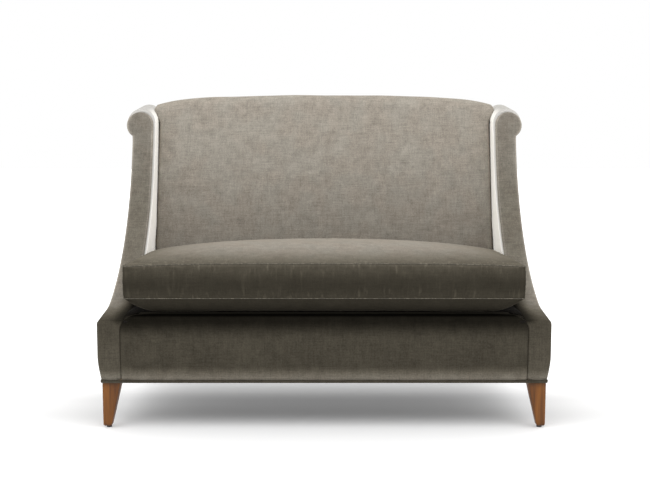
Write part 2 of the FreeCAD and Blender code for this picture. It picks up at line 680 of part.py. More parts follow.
def top_edges(path):
    foot, belly, shoulder, crest, rear = path
    return [Part.Arc(foot, belly, shoulder).toShape(), quarter(shoulder, crest, True),
            quarter(crest, rear, False)]


def loft_across(half_width, shares, edges_at):
    """A solid through closed outlines in YZ planes at shares of the half width, on both sides."""
    places = sorted({side * share for share in shares for side in (-1, 1)})
    wires = []
    for place in places:
        wire = Part.Wire(edges_at(abs(place)))
        wire.translate(FreeCAD.Vector(place * half_width, 0, 0))
        wires.append(wire)
    return Part.makeLoft(wires, True, False)


def pad_edges(x_share, inset):
    """The whole outline of the pad, which goes over the top rail and down the front of the webbing."""
    path = back_path(x_share, inset)
    low, cap = value("platform_height"), value("rail_cap_z")
    hem = [FreeCAD.Vector(0, value("frame_rear_foot_y") + cap * value("rear_slope"), cap),
           FreeCAD.Vector(0, value("pad_foot_y") + cap * value("back_slope"), cap),
           FreeCAD.Vector(0, value("pad_foot_y") + low * value("back_slope"), low)]
    return top_edges(path) + straight(path[-1], *hem, path[0])


foam = loft_across(value("arm_inner_x - back_cover_thickness"), BACK_CREST_SHARES,
                   lambda share: pad_edges(share, value("back_cover_thickness")))
blank = loft_across(value("arm_inner_x + back_shoulder_width"), BACK_CREST_SHARES,
                    lambda share: pad_edges(share, 0))
node("back_foam", set_shape("back_foam", foam))
cover = set_shape("back_cover_blank", blank.cut(foam))
shoulder_outline = [(y, z) for y, z in (
    ("front_y", "0"), ("depth_overall", "0"), ("depth_overall", "roll_foot_z + depth_overall * roll_slope"),
    ("front_y", "roll_foot_z + front_y * roll_slope"))]
shoulder_end = fuse("shoulder_end", roll_between_ends("shoulder_roll", "roll_radius"), prism(
    "shoulder_arm", "YZ_Plane", [shoulder_outline], "arm_inner_x", "arm_thickness"))
node("inside_back", cut("inside_back", cover, shoulder_end, other_side("shoulder_end_mirror", shoulder_end)))

panel_y = "frame_rear_foot_y + cover_bottom_z * rear_slope"
roll_s = "(roll_rear_z - cover_bottom_z) / cos(rear_recline)"
top_s = "(rear_top_z - cover_bottom_z) / cos(rear_recline)"
side_s = f"{roll_s} - sqrt(roll_radius^2 - (arm_outer_x - roll_centre_x)^2)"
foot_s = "cover_thickness * rear_slope"
tuck_s = "(base_top_z - cover_bottom_z) / cos(rear_recline)"
shoulder_x = "(arm_inner_x + back_shoulder_width)"
panel_top = []
for place in sorted({side * share for share in BACK_CREST_SHARES for side in (-1, 1)}, reverse=True):
    fall = f"back_crest_drop * {BACK_CREST_SHARES[abs(place)] * REAR_DROP_SHARE} / cos(rear_recline)"
    panel_top.append((f"{place} * {shoulder_x}", f"{top_s} - {fall}"))
panel_outline = ([("-foot_outer_x", foot_s), ("foot_outer_x", foot_s), ("arm_outer_x", tuck_s),
                  ("arm_outer_x", side_s), (shoulder_x, roll_s)] + panel_top
                 + [(f"-{shoulder_x}", roll_s), ("-arm_outer_x", side_s), ("-arm_outer_x", tuck_s)])
panel = prism("outside_back_board", "XZ_Plane", [panel_outline], "cover_thickness", "cover_thickness")
roll_ends = [rod(f"roll_end_{side}", "roll_radius", "cover_thickness", x, "0", roll_s, "-90")
             for side, x in (("left", "-roll_centre_x"), ("right", "roll_centre_x"))]
outside_back = fuse("outside_back", panel, *roll_ends)
outside_back.setExpression("Placement", formula(
    f"placement(vector(0; {panel_y}; cover_bottom_z); rotation(vector(1; 0; 0); -rear_recline))"))
node("outside_back", outside_back)

# The band round the bottom edge, and the dust cover inside it with its corners cut for the legs.
band_outside = [(f"{side} * (foot_outer_x + band_proud)", y) for side, y in (
    ("-1", "front_y + front_tuck - band_proud"), ("1", "front_y + front_tuck - band_proud"),
    ("1", "rear_foot_y + cover_bottom_z * rear_slope + band_proud"),
    ("-1", "rear_foot_y + cover_bottom_z * rear_slope + band_proud"))]
band_inside = [(f"{side} * rail_outer_x", y) for side, y in (
    ("-1", "frame_front_y"), ("1", "frame_front_y"),
    ("1", "frame_rear_foot_y + cover_bottom_z * rear_slope"),
    ("-1", "frame_rear_foot_y + cover_bottom_z * rear_slope"))]
node("bottom_band", prism("bottom_band", "XY_Plane", [band_outside, band_inside],
                          "leg_height", "band_height"))

leg_reach = "(leg_top_width / 2 + running_gap)"
dust_outline = []
for side_x, side_y, order in ((-1, -1, 0), (1, -1, 1), (1, 1, 0), (-1, 1, 1)):
    leg_y = "leg_front_y" if side_y < 0 else "leg_rear_y"
    edge_y = "frame_front_y" if side_y < 0 else "rear_base_y"
    inner = f"{side_x} * (leg_x - {leg_reach})"
    step_y = f"{leg_y} - {side_y} * {leg_reach}"
    corner = [(f"{side_x} * rail_outer_x", step_y), (inner, step_y), (inner, edge_y)]
    dust_outline += corner if not order else corner[::-1]
node("dust_cover", prism("dust_cover", "XY_Plane", [dust_outline],
                         "leg_height - dust_cover_thickness", "dust_cover_thickness"))

# Legs: square, tapered on their inner sides, with a hanger bolt and a nylon glide each.


def leg(place, y, way, rake, bolt):
    """A leg on the right-hand side: way is -1 where its tip lies to the front, 1 where it rakes back."""
    body = document.addObject("PartDesign::Body", f"leg_{place}")
    bind(body, Placement__Base__x="leg_x", Placement__Base__y=y)
    tip_x, tip_y = "tip_shift", f"{way} * (tip_shift + {rake})"
    sketches = []
    for name, x, depth, width, z in (("top", "0", "0", "leg_top_width", "leg_height"),
                                     ("tip", tip_x, tip_y, "leg_tip_width", "glide_height")):
        loop = [(f"{x} + {a} * {width} / 2", f"{depth} + {b} * {width} / 2")
                for a, b in ((-1, -1), (1, -1), (1, 1), (-1, 1))]
        sketch = sketch_on(body, f"leg_{place}_{name}", "XY_Plane", [loop])
        sketch.setExpression("AttachmentOffset.Base.z", formula(z))
        sketches.append(sketch)
    loft = body.newObject("PartDesign::AdditiveLoft", f"leg_{place}_taper")
    loft.Profile, loft.Sections, loft.Ruled = sketches[0], [sketches[1]], True
    document.recompute()
    middle = value("leg_height / 2")
    rim = [f"Edge{number}" for number, edge in enumerate(loft.Shape.Edges, start=1)
           if edge.BoundBox.ZMax < middle]
    chamfer = body.newObject("PartDesign::Chamfer", f"leg_{place}_tip_edge")
    chamfer.Base = (loft, rim)
    bind(chamfer, Size="leg_tip_chamfer")
    body.Tip = chamfer
    pair(f"leg_{place}", cut(f"leg_{place}", body, bolt))
    return rod(f"glide_{place}", "glide_radius", "glide_height", f"leg_x + {tip_x}", f"{y} + {tip_y}", "0")


glides = [leg("front", "leg_front_y", "-1", "0", bolts[0]),
          leg("rear", "leg_rear_y", "1", "rear_leg_rake", bolts[1])]
for name, rods in (("leg_bolts", bolts), ("leg_glides", glides)):
    node(name, group(name, rods + [other_side(f"{item.Name}_mirror", item) for item in rods]))

# The loose cushion: a boxed cover with a crowned top and underside, and its filling.


def cushion_edges(x_share, inset):
    """The cushion's outline at one place across it, moved in by the inset: underside, rear boxing that
    leans with the back, crowned top in two arcs, and the bulged front boxing."""
    crown, drop = CUSHION_CROWN_SHARES[x_share]
    front_y = value("cushion_front_y + front_draw_in") - value("front_draw_in") * x_share ** 4 + inset
    low, high = value("low_seam_z") + inset, value("high_seam_z") - inset
    under = low - value("cushion_drop - running_gap") * drop
    top = high + value("cushion_crown") * crown
    rear_low = value("zip_plane_y + low_seam_z * back_slope") - inset
    rear_high = value("zip_plane_y + high_seam_z * back_slope") - inset
    rounding = value("cushion_bottom_round")
    crest_y = front_y + (rear_high - front_y) * CREST_DEPTH_SHARE

    def at(y, z):
        return FreeCAD.Vector(0, y, z)

    def under_quarter(start, end, level_at_end):
        """The same arc as a top one, upside down."""
        edge = quarter(at(start.y, -start.z), at(end.y, -end.z), level_at_end)
        middle = edge.valueAt((edge.FirstParameter + edge.LastParameter) / 2)
        return Part.Arc(start, at(middle.y, -middle.z), end).toShape()

    front_low, front_high = at(front_y, low), at(front_y, high)
    flat_front, flat_rear = at(front_y + rounding, under), at(rear_low - rounding, under)
    back_low, back_high = at(rear_low, low), at(rear_high, high)
    crest = at(crest_y, top)
    bulge = at(front_y - value("boxing_bulge"), (low + high) / 2)
    return ([under_quarter(front_low, flat_front, True)] + straight(flat_front, flat_rear)
            + [under_quarter(flat_rear, back_low, False)] + straight(back_low, back_high)
            + [quarter(back_high, crest, True), quarter(crest, front_high, False),
               Part.Arc(front_high, bulge, front_low).toShape()])


def cushion_solid(inset):
    return loft_across(value("cushion_half_width") - inset, CUSHION_CROWN_SHARES,
                       lambda share: cushion_edges(share, inset))


skin = value("cushion_cover_thickness")
node("cushion_cover", set_shape("cushion_cover", cushion_solid(0).cut(cushion_solid(skin))))
node("cushion_core", set_shape("cushion_core", cushion_solid(skin + value("running_gap"))))

zip_z = "((low_seam_z + high_seam_z - zip_tape_width) / 2)"
node("zip_tape", block("zip_tape", "-zip_half_length", f"zip_plane_y + {zip_z} * back_slope", zip_z,
                       "2 * zip_half_length", "zip_tape_thickness", "zip_tape_width", "back_recline"))
slider_z = "((low_seam_z + high_seam_z - zip_slider_width) / 2)"
slider_depth = "(zip_tape_thickness + running_gap)"
node("zip_slider", block("zip_slider", "zip_half_length - zip_slider_length",
                         f"zip_plane_y + {slider_z} * back_slope + {slider_depth} * cos(back_recline)",
                         f"{slider_z} - {slider_depth} * sin(back_recline)",
                         "zip_slider_length", "zip_slider_thickness", "zip_slider_width", "back_recline"))

document.recompute()
faults = [item.Label for item in document.Objects if {"Invalid", "Error"} & set(item.State)]
faults += [name for name, item in NODES.items() if item.Shape.isNull() or not item.Shape.isValid()]
if faults:
    raise RuntimeError("these pieces failed: " + ", ".join(sorted(set(faults))))

os.makedirs("parts", exist_ok=True)
for name, item in NODES.items():
    item.Shape.exportStep(os.path.join("parts", name + ".step"))
print(len(NODES), "pieces")
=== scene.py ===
import collections
import math

import bmesh
import bpy
import numpy as np
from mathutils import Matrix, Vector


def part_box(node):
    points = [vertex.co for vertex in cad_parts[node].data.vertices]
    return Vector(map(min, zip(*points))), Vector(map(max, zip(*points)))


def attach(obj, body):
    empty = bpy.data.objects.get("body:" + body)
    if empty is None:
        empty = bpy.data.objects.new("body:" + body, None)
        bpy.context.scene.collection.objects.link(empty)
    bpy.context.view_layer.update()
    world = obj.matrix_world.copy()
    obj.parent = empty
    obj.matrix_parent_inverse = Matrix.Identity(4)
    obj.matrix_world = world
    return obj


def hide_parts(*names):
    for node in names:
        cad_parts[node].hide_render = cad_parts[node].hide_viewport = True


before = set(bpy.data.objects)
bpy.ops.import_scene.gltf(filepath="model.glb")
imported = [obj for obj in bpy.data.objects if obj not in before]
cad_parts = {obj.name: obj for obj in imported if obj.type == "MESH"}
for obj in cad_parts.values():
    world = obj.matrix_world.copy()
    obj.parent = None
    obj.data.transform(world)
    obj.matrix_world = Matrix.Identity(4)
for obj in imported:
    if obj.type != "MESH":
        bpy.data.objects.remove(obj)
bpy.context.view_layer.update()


# The frame: seat rails, base rails, posts, back rails, arm spacers and turned roll cores. Planed beech with
# its grain along each piece, glued, dowelled and screwed together, and hidden by the upholstery.
class Socket:
    """An output of a node. Arithmetic on it adds Math nodes, and of() adds any other node."""

    def __init__(self, output):
        self.output = output

    @classmethod
    def of(cls, tree, kind, sockets=None, outlet=0, **settings):
        """An output of a new node, with its settings and the values or links of its sockets."""
        node = tree.nodes.new(kind)
        for name, setting in settings.items():
            setattr(node, name, setting)
        for key, value in (sockets or {}).items():
            if isinstance(value, Socket):
                tree.links.new(value.output, node.inputs[key])
            else:
                node.inputs[key].default_value = value
        return cls(node.outputs[outlet]) if node.outputs else None

    def math(self, operation, first, second):
        tree = self.output.id_data
        return Socket.of(tree, "ShaderNodeMath", {0: first, 1: second}, operation=operation)

    def __add__(self, other):
        return self.math("ADD", self, other)

    def __radd__(self, other):
        return self.math("ADD", other, self)

    def __sub__(self, other):
        return self.math("SUBTRACT", self, other)

    def __rsub__(self, other):
        return self.math("SUBTRACT", other, self)

    def __mul__(self, other):
        return self.math("MULTIPLY", self, other)

    def __rmul__(self, other):
        return self.math("MULTIPLY", other, self)

    def ramp(self, start, end, low=0.0, high=1.0):
        """A smooth step from low to high while this value goes from start to end."""
        ends = {"From Min": start, "From Max": end, "To Min": low, "To Max": high}
        return Socket.of(self.output.id_data, "ShaderNodeMapRange", {"Value": self, **ends},
                         interpolation_type="SMOOTHSTEP")


def paint(red, green, blue):
    """A colour as a screen shows it, 0 to 255, in the linear values that shaders take."""
    shares = [band / 255 for band in (red, green, blue)]
    return tuple(((s + 0.055) / 1.055) ** 2.4 if s > 0.04045 else s / 12.92 for s in shares) + (1.0,)


def place_on(tree):
    return Socket.of(tree, "ShaderNodeTexCoord", outlet="Object")


def mottle(tree, place, scale, stretch=(1, 1, 1), detail=2.0):
    """Soft patches about 0.5 bright, with a number of them to the metre along each axis."""
    run = Socket.of(tree, "ShaderNodeMapping", {"Vector": place, "Scale": stretch})
    return Socket.of(tree, "ShaderNodeTexNoise", {"Vector": run, "Scale": scale, "Detail": detail})


def blended(tree, share, first, second):
    return Socket.of(tree, "ShaderNodeMix", {0: share, 6: first, 7: second}, 2, data_type="RGBA")


def toned(tree, colour, tone):
    """A colour made lighter or darker by a factor."""
    return Socket.of(tree, "ShaderNodeVectorMath", {0: colour, "Scale": tone}, operation="SCALE")


def material(name, build):
    """A material. build(tree, place) gives its colour, roughness, bump height in millimetres and the
    constants of its shader."""
    made = bpy.data.materials.new(name)
    made.use_nodes = True
    tree = made.node_tree
    tree.nodes.clear()
    colour, roughness, height, constants = build(tree, place_on(tree))
    bump = Socket.of(tree, "ShaderNodeBump", {"Strength": 1.0, "Distance": 0.001, "Height": height})
    shader = Socket.of(tree, "ShaderNodeBsdfPrincipled",
                       {"Base Color": colour, "Roughness": roughness, "Normal": bump, **constants})
    Socket.of(tree, "ShaderNodeOutputMaterial", {"Surface": shader})
    return made


def timber(name, light, dark, along, roughness=0.62):
    """Wood with slow bands, finer fibres and short pores that run along one axis."""
    def build(tree, place):
        def streaks(scale, stretch, detail):
            return mottle(tree, place, scale, [stretch if axis == along else 1 for axis in range(3)], detail)

        bands, fibres = streaks(30, 0.06, 3), streaks(420, 0.03, 2)
        pores = streaks(900, 0.02, 1).ramp(0.6, 0.75)
        share = bands.ramp(0.35, 0.68) * 0.6 + fibres.ramp(0.4, 0.7) * 0.4
        colour = toned(tree, blended(tree, share, light, dark), 1 - 0.22 * pores)
        return colour, roughness - 0.12 * fibres, 0.08 * fibres - 0.06 * pores, {}

    return material(name, build)


def finish_nodes(finish, *nodes):
    """Give carried-over frame pieces their material."""
    for name in nodes:
        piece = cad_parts[name]
        piece.data.materials.clear()
        piece.data.materials.append(finish)


BEECH_LIGHT, BEECH_DARK = paint(222, 190, 148), paint(190, 150, 108)
beech = [timber(f"beech_{grain}", BEECH_LIGHT, BEECH_DARK, axis)
         for axis, grain in enumerate(("across", "deep", "up"))]
finish_nodes(beech[0], "front_rail", "rear_rail", "back_top_rail", "back_bottom_rail", "corner_blocks")
finish_nodes(beech[1], "seat_middle_rail", "base_rail_left", "base_rail_right",
             "roll_core_left", "roll_core_right")
finish_nodes(beech[2], "back_post_left", "back_post_right", "back_upright",
             "arm_spacers_left", "arm_spacers_right")


# The plywood sides of the arms. Birch plywood, its faces pale and its edges striped by the plies, screwed
# to the spacers between them and to the base rails.
def component(tree, vector, axis):
    return Socket.of(tree, "ShaderNodeSeparateXYZ", {0: vector}, axis)


def stripes(tree, place, axis, scale, waver=None):
    """Soft bands across one axis, from 0 to 1 bright."""
    wave = Socket.of(tree, "ShaderNodeTexWave", {"Vector": place, "Scale": scale, **(waver or {})},
                     bands_direction=axis)
    return Socket.of(tree, "ShaderNodeRGBToBW", {0: wave})


def plywood(tree, place):
    normal = Socket.of(tree, "ShaderNodeTexCoord", outlet="Normal")
    facing = Socket.of(tree, "ShaderNodeVectorMath", {0: normal}, operation="ABSOLUTE")
    edge = 1 - component(tree, facing, "X").ramp(0.4, 0.8)
    fibres = mottle(tree, place, 300, (1, 0.04, 1), 3)
    share = edge * stripes(tree, place, "X", 52.0).ramp(0.3, 0.6) * 0.8 + 0.2 * fibres
    return blended(tree, share, paint(226, 202, 160), paint(168, 132, 88)), 0.6, 0.05 * fibres, {}


finish_nodes(material("birch_plywood", plywood), "arm_ply_inner_left", "arm_ply_inner_right",
             "arm_ply_outer_left", "arm_ply_outer_right")


# The seat's zigzag springs with their clips, and the hanger bolts of the legs. Oil-tempered and zinc-plated
# steel wire and strip, nailed or screwed to the rails.
def speckled(name, scale, detail, colours, roughness, bump, band=None, **constants):
    """A finish in two colours mixed by noise, which also moves its roughness, given as its least and its
    range, and its bumps. band narrows the mix to a part of the noise."""
    def build(tree, place):
        specks = mottle(tree, place, scale, (1, 1, 1), detail)
        share = specks.ramp(*band) if band else specks
        return blended(tree, share, *colours), roughness[0] + roughness[1] * specks, bump * specks, constants

    return material(name, build)


steel = speckled("spring_steel", 60, 4, (paint(92, 90, 88), paint(150, 148, 146)), (0.28, 0.2), 0.02,
                 Metallic=1.0)
finish_nodes(steel, "seat_springs", "spring_clips", "leg_bolts")


# Jute hessian over the springs and jute webbing across the back, tacked to the frame. Both are woven, and
# the webbing's threads lie closer than the hessian's.
def woven(tree, place, pitch, light, dark, axes):
    """Cloth whose threads cross at a pitch in metres, in the plane of two axes."""
    waver = {"Distortion": 1.5, "Detail Scale": 0.6 / pitch}
    threads = [stripes(tree, place, axis, 0.314 / pitch, waver) for axis in axes]
    over = threads[0] * threads[1]
    slub = mottle(tree, place, 0.3 / pitch, detail=3)
    return blended(tree, over.ramp(0.0, 0.7) * 0.7 + slub * 0.3, dark, light), over * 0.4 + slub * 0.2


def jute(pitch, axes):
    def build(tree, place):
        colour, height = woven(tree, place, pitch, paint(190, 160, 116), paint(112, 86, 52), axes)
        return colour, 0.95, height, {}

    return build


finish_nodes(material("jute_hessian", jute(0.0022, "XY")), "seat_hessian")
finish_nodes(material("jute_webbing", jute(0.0014, "XZ")), "back_webbing")


# The back's filling. Upholstery foam under a fibre wrap, glued over the webbing and the top rail, full in
# the middle and rounded over the top.
ARM_INNER_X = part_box("arm_facing_right")[0].x
BACK_HALF_WIDTH = ARM_INNER_X - 0.0055
BACK_FOOT_Z, BACK_TOP_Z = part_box("inside_back")[0].z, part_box("inside_back")[1].z
REAR_TOP_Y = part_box("outside_back")[1].y
BACK_ANGLE, REAR_ANGLE = math.radians(15), math.radians(7.5)
BACK_SLOPE, REAR_SLOPE = math.tan(BACK_ANGLE), math.tan(REAR_ANGLE)
BACK_TOP_THICKNESS = 0.105
FACE_RISE = BACK_TOP_Z - 0.046
FACE_FOOT_Y = REAR_TOP_Y - BACK_TOP_THICKNESS - FACE_RISE * BACK_SLOPE
REAR_TOP_Z = BACK_TOP_Z - 0.040
REAR_FOOT_Y = REAR_TOP_Y - REAR_TOP_Z * REAR_SLOPE
CREST_DROP = 0.037
BACK_BELLY = 0.010
BACK_COVER = 0.004
PAD_DEPTH = 0.072
FACE_SHARE, OVER_SHARE = 0.72, 0.88


def block_skin(name, counts, place):
    """A closed skin of quads round a block of cells. place(u, v, w) puts each point from its shares of the
    way across, along and through the block."""
    counts = np.array(counts)
    grid = np.moveaxis(np.indices(tuple(counts + 1)), 0, -1)
    outside = ((grid == 0) | (grid == counts)).any(axis=-1)
    number = np.cumsum(outside).reshape(outside.shape) - 1
    faces = []
    for axis in range(3):
        for end in (0, counts[axis]):
            layer = np.take(number, end, axis=axis)
            layer = layer.T if axis == 1 else layer
            ring = [layer[:-1, :-1], layer[1:, :-1], layer[1:, 1:], layer[:-1, 1:]]
            faces.append(np.stack(ring if end else ring[::-1], axis=-1).reshape(-1, 4))
    points = np.stack(np.broadcast_arrays(*place(*(grid[outside] / counts).T)), axis=-1)
    mesh = bpy.data.meshes.new(name)
    mesh.from_pydata(points.tolist(), [], np.concatenate(faces).tolist())
    return closed_piece(name, mesh)


def linked(name, data):
    """A new object in the scene."""
    piece = bpy.data.objects.new(name, data)
    bpy.context.scene.collection.objects.link(piece)
    return piece


def closed_piece(name, mesh, smooth=True):
    """An object with its mesh's doubles joined and its faces turned outwards."""
    join = 1e-5
    work = bmesh.new()
    work.from_mesh(mesh)
    bmesh.ops.remove_doubles(work, verts=work.verts, dist=join)
    bmesh.ops.dissolve_degenerate(work, edges=work.edges, dist=join)
    bmesh.ops.recalc_face_normals(work, faces=work.faces)
    work.to_mesh(mesh)
    work.free()
    if smooth:
        mesh.shade_smooth()
    return linked(name, mesh)


def fit(piece, finish, body, slot, *nodes):
    """Give a piece its material and its body, and hide the frame pieces that it stands for. slot is not used.
    """
    piece.data.materials.clear()
    piece.data.materials.append(finish)
    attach(piece, body)
    if nodes:
        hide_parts(*nodes)
    return piece


def pad(name, counts, place, finish, slot, *nodes, body="frame", fill=1.0):
    """A padded piece on a block of cells, from its shape to what it stands for."""
    fit(block_skin(name, counts, place), finish, body, slot, *nodes)


def rounding(distance, radius):
    """How far below the surface a rounded edge lies, at a distance in from the edge."""
    inner = 1 - np.clip(distance / radius, 0, 1)
    return radius * (1 - np.sqrt(1 - inner ** 2))


def way(value, start, end):
    """The share of the way from start to end, from 0 to 1."""
    return np.clip((value - start) / (end - start), 0, 1)


def crest_fall(share):
    """How far the back's top lies below its middle at a share of the half width."""
    return CREST_DROP * (0.41 * share ** 2 + 0.59 * share ** 8)


def back_line(share, v):
    """The padded back's outline at a share of its half width: its Y, Z and heading at a share of the way
    up the face, over the crest and down to the outside back."""
    fall = crest_fall(share)
    stops = (0, FACE_SHARE, OVER_SHARE, 1)
    face, over, down = (way(v, low, high) for low, high in zip(stops, stops[1:]))
    lean = math.pi / 2 - BACK_ANGLE
    face_top = FACE_RISE - fall
    z = BACK_FOOT_Z + (face_top - BACK_FOOT_Z) * face
    y = FACE_FOOT_Y + z * BACK_SLOPE - 4 * BACK_BELLY * face * (1 - face) * (1 - 0.8 * share ** 2)
    heading = lean * (1 - over)
    turn = (BACK_TOP_Z - FACE_RISE) / (1 - math.cos(lean))
    y = y + turn * (math.sin(lean) - np.sin(heading)) * (over > 0)
    z = z + turn * (np.cos(heading) - math.cos(lean)) * (over > 0)
    crest_y = FACE_FOOT_Y + face_top * BACK_SLOPE + turn * math.sin(lean)
    drop = (BACK_TOP_Z - REAR_TOP_Z) - 0.8 * fall
    run = REAR_FOOT_Y + (REAR_TOP_Z - 0.2 * fall) * REAR_SLOPE - crest_y
    bend = (run ** 2 + drop ** 2) / (2 * drop)
    angle = np.arcsin(np.clip(run / bend, 0, 1)) * down
    y = np.where(down > 0, crest_y + bend * np.sin(angle), y)
    z = np.where(down > 0, BACK_TOP_Z - fall - bend * (1 - np.cos(angle)), z)
    return y, z, np.where(down > 0, -angle, heading)


def spread(u, press=0.5):
    """Places from -1 to 1, closer together near both ends."""
    t = 2 * u - 1
    return (1 - press) * t + press * np.sin(t * math.pi / 2)


def moved_in(y, z, heading, depth):
    """A point moved inwards, square to the heading of its line."""
    return y + depth * np.sin(heading), z - depth * np.cos(heading)


def back_filling(u, v, w):
    across = spread(u)
    y, z, heading = back_line(np.abs(across), v)
    inset = BACK_COVER + 0.002 + rounding((1 - np.abs(across)) * BACK_HALF_WIDTH, 0.014)
    y, z = moved_in(y, z, heading, inset)
    behind_z = np.minimum(z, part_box("back_top_rail")[1].z)
    rail_face = FACE_FOOT_Y + PAD_DEPTH / math.cos(BACK_ANGLE) + behind_z * BACK_SLOPE
    behind_y = np.minimum(rail_face, y + PAD_DEPTH)
    x = across * (BACK_HALF_WIDTH - BACK_COVER - 0.001)
    return x, np.where(w > 0.5, y, behind_y), np.where(w > 0.5, z, behind_z)


def foam(tree, place):
    cells = Socket.of(tree, "ShaderNodeTexVoronoi", {"Vector": place, "Scale": 700.0})
    wrap = mottle(tree, place, 40, detail=4)
    return (blended(tree, wrap.ramp(0.3, 0.7), paint(244, 238, 222), paint(226, 214, 184)),
            0.95, 0.3 * cells + 0.4 * wrap, {})


foam_finish = material("foam_and_fibre", foam)
pad("back_filling", (60, 50, 1), back_filling, foam_finish, "foam", "back_foam")


# The seat deck. A thin pad over the hessian under hard-wearing platform lining, stitched to the front
# border and tacked along the other rails. The loose cushion lies on it.
def lining(tree, place):
    colour, height = woven(tree, place, 0.0011, paint(36, 33, 29), paint(18, 16, 14), "XY")
    return colour, 0.9, height, {"Specular IOR Level": 0.05}


deck_low, deck_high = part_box("seat_deck")
RAIL_TOP_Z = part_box("front_rail")[1].z
FOLD_START_X = 0.53
FOLD_DEPTH = 0.058
SIDES = ((-1, "left"), (1, "right"))


def deck(u, v, w):
    x, y = spread(u) * (deck_high.x - 0.001), deck_low.y + (deck_high.y - deck_low.y) * v
    edge = np.minimum(deck_high.x - np.abs(x), np.minimum(y - deck_low.y, deck_high.y - y))
    top = deck_high.z - 0.0004 - rounding(edge + 0.001, 0.010)
    return x, y, np.where(w > 0.5, top, deck_low.z + 0.0005)


def lining_corner(u, v, w):
    """The folded end of the lining that covers the front rail beside an arm."""
    x = FOLD_START_X + (deck_high.x - 0.001 - FOLD_START_X) * u
    return x, deck_low.y - FOLD_DEPTH * (1 - v) - 0.0004, RAIL_TOP_Z + 0.0004 + 0.007 * w


def mirrored(shape, side):
    """A shape of the right-hand side, or for side -1 its mirror image."""
    def place(u, v, w):
        x, y, z = shape(u, v, w)
        return side * x, y, z

    return place


lining_finish = material("platform_lining", lining)
pad("seat_deck_pad", (64, 36, 1), deck, lining_finish, "platform_cloth", "seat_deck")
for side, side_name in SIDES:
    fit(block_skin(f"lining_corner_{side_name}", (8, 8, 1), mirrored(lining_corner, side)), lining_finish,
        "frame", "platform_cloth")


# The dust cover under the seat. One sheet of black non-woven cloth, cut round the legs, pulled tight and
# stapled to the underside of the rails every few centimetres.
dust_low, dust_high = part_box("dust_cover")
LEG_WIDTH = 0.054
LEG_CLEARANCE = 0.0004
DUST_THICKNESS = 0.001
DUST_SAG = 0.0025


def leg_centre(side, row):
    """Where a leg's top stands: side is -1 or 1, row front or rear."""
    low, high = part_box(f"leg_{row}_{dict(SIDES)[side]}")
    x = side * (max(abs(low.x), abs(high.x)) - LEG_WIDTH / 2)
    return x, (low.y + LEG_WIDTH / 2 if row == "rear" else high.y - LEG_WIDTH / 2)


def dust_sag(x, y):
    """How far the cloth hangs below its stapled edges."""
    share_y = (2 * y - dust_low.y - dust_high.y) / (dust_high.y - dust_low.y)
    return DUST_SAG * (1 - (x / dust_high.x) ** 2) * (1 - share_y ** 2)


def closed_from(work, name, smooth=True):
    """The closed object of a mesh that is built by hand."""
    mesh = bpy.data.meshes.new(name)
    work.to_mesh(mesh)
    work.free()
    return closed_piece(name, mesh, smooth)


def finished_mesh(piece):
    """The piece's mesh with its modifiers made part of it. The piece is removed."""
    depsgraph = bpy.context.evaluated_depsgraph_get()
    mesh = bpy.data.meshes.new_from_object(piece.evaluated_get(depsgraph), depsgraph=depsgraph)
    bpy.data.objects.remove(piece)
    return mesh


def applied(piece):
    """The piece with its modifiers made part of its mesh."""
    name = piece.name
    mesh = finished_mesh(piece)
    mesh.name = name
    return closed_piece(name, mesh)


def dust_cover():
    """A grid of cells with the legs' corners left out, given its thickness afterwards."""
    inner_x = abs(leg_centre(1, "front")[0]) - LEG_WIDTH / 2 - LEG_CLEARANCE
    front_y = leg_centre(1, "front")[1] + LEG_WIDTH / 2 + LEG_CLEARANCE
    rear_y = leg_centre(1, "rear")[1] - LEG_WIDTH / 2 - LEG_CLEARANCE
    xs = np.unique(np.concatenate([np.linspace(-inner_x, inner_x, 57), [dust_low.x, dust_high.x]]))
    ys = np.unique(np.concatenate([np.linspace(front_y, rear_y, 27), [dust_low.y, dust_high.y]]))
    work = bmesh.new()
    corners = {}
    for x_low, x_high in zip(xs, xs[1:]):
        for y_low, y_high in zip(ys, ys[1:]):
            beside = abs(x_low + x_high) / 2 > inner_x
            if beside and not front_y < (y_low + y_high) / 2 < rear_y:
                continue
            ring = [(x_low, y_low), (x_high, y_low), (x_high, y_high), (x_low, y_high)]
            for x, y in ring:
                if (x, y) not in corners:
                    corners[x, y] = work.verts.new((x, y, dust_high.z - DUST_THICKNESS - dust_sag(x, y)))
            work.faces.new([corners[point] for point in ring])
    area = sum(face.calc_area() for face in work.faces)
    piece = closed_from(work, "dust_cover_sheet")
    solidify = piece.modifiers.new("thickness", "SOLIDIFY")
    solidify.thickness = DUST_THICKNESS
    solidify.offset = 1.0
    return applied(piece), area


cambric = speckled("dust_cloth", 300, 5, (paint(22, 22, 23), paint(52, 51, 50)), (0.9, 0.0), 0.15)
dust_piece, dust_area = dust_cover()
fit(dust_piece, cambric, "frame", "dust_cloth", "dust_cover")


def line_tree(name, *names):
    """A Geometry Nodes tree that starts from a line, with a named number for each of its sizes."""
    tree = bpy.data.node_groups.new(name, "GeometryNodeTree")
    tree.interface.new_socket(name="Geometry", in_out="OUTPUT", socket_type="NodeSocketGeometry")
    tree.interface.new_socket(name="Geometry", in_out="INPUT", socket_type="NodeSocketGeometry")
    for size in names:
        tree.interface.new_socket(name=size, in_out="INPUT", socket_type="NodeSocketFloat")
    start = tree.nodes.new("NodeGroupInput")
    sizes = {socket.name: Socket(socket) for socket in start.outputs if socket.name}
    return tree, Socket.of(tree, "GeometryNodeMeshToCurve", {0: sizes["Geometry"]}), sizes


def close_tree(tree, geometry, finish):
    """Make instances real, set the material and end the tree."""
    real = Socket.of(tree, "GeometryNodeRealizeInstances", {0: geometry})
    Socket.of(tree, "NodeGroupOutput", {0: Socket.of(
        tree, "GeometryNodeSetMaterial", {"Geometry": real, "Material": finish})})
    return tree


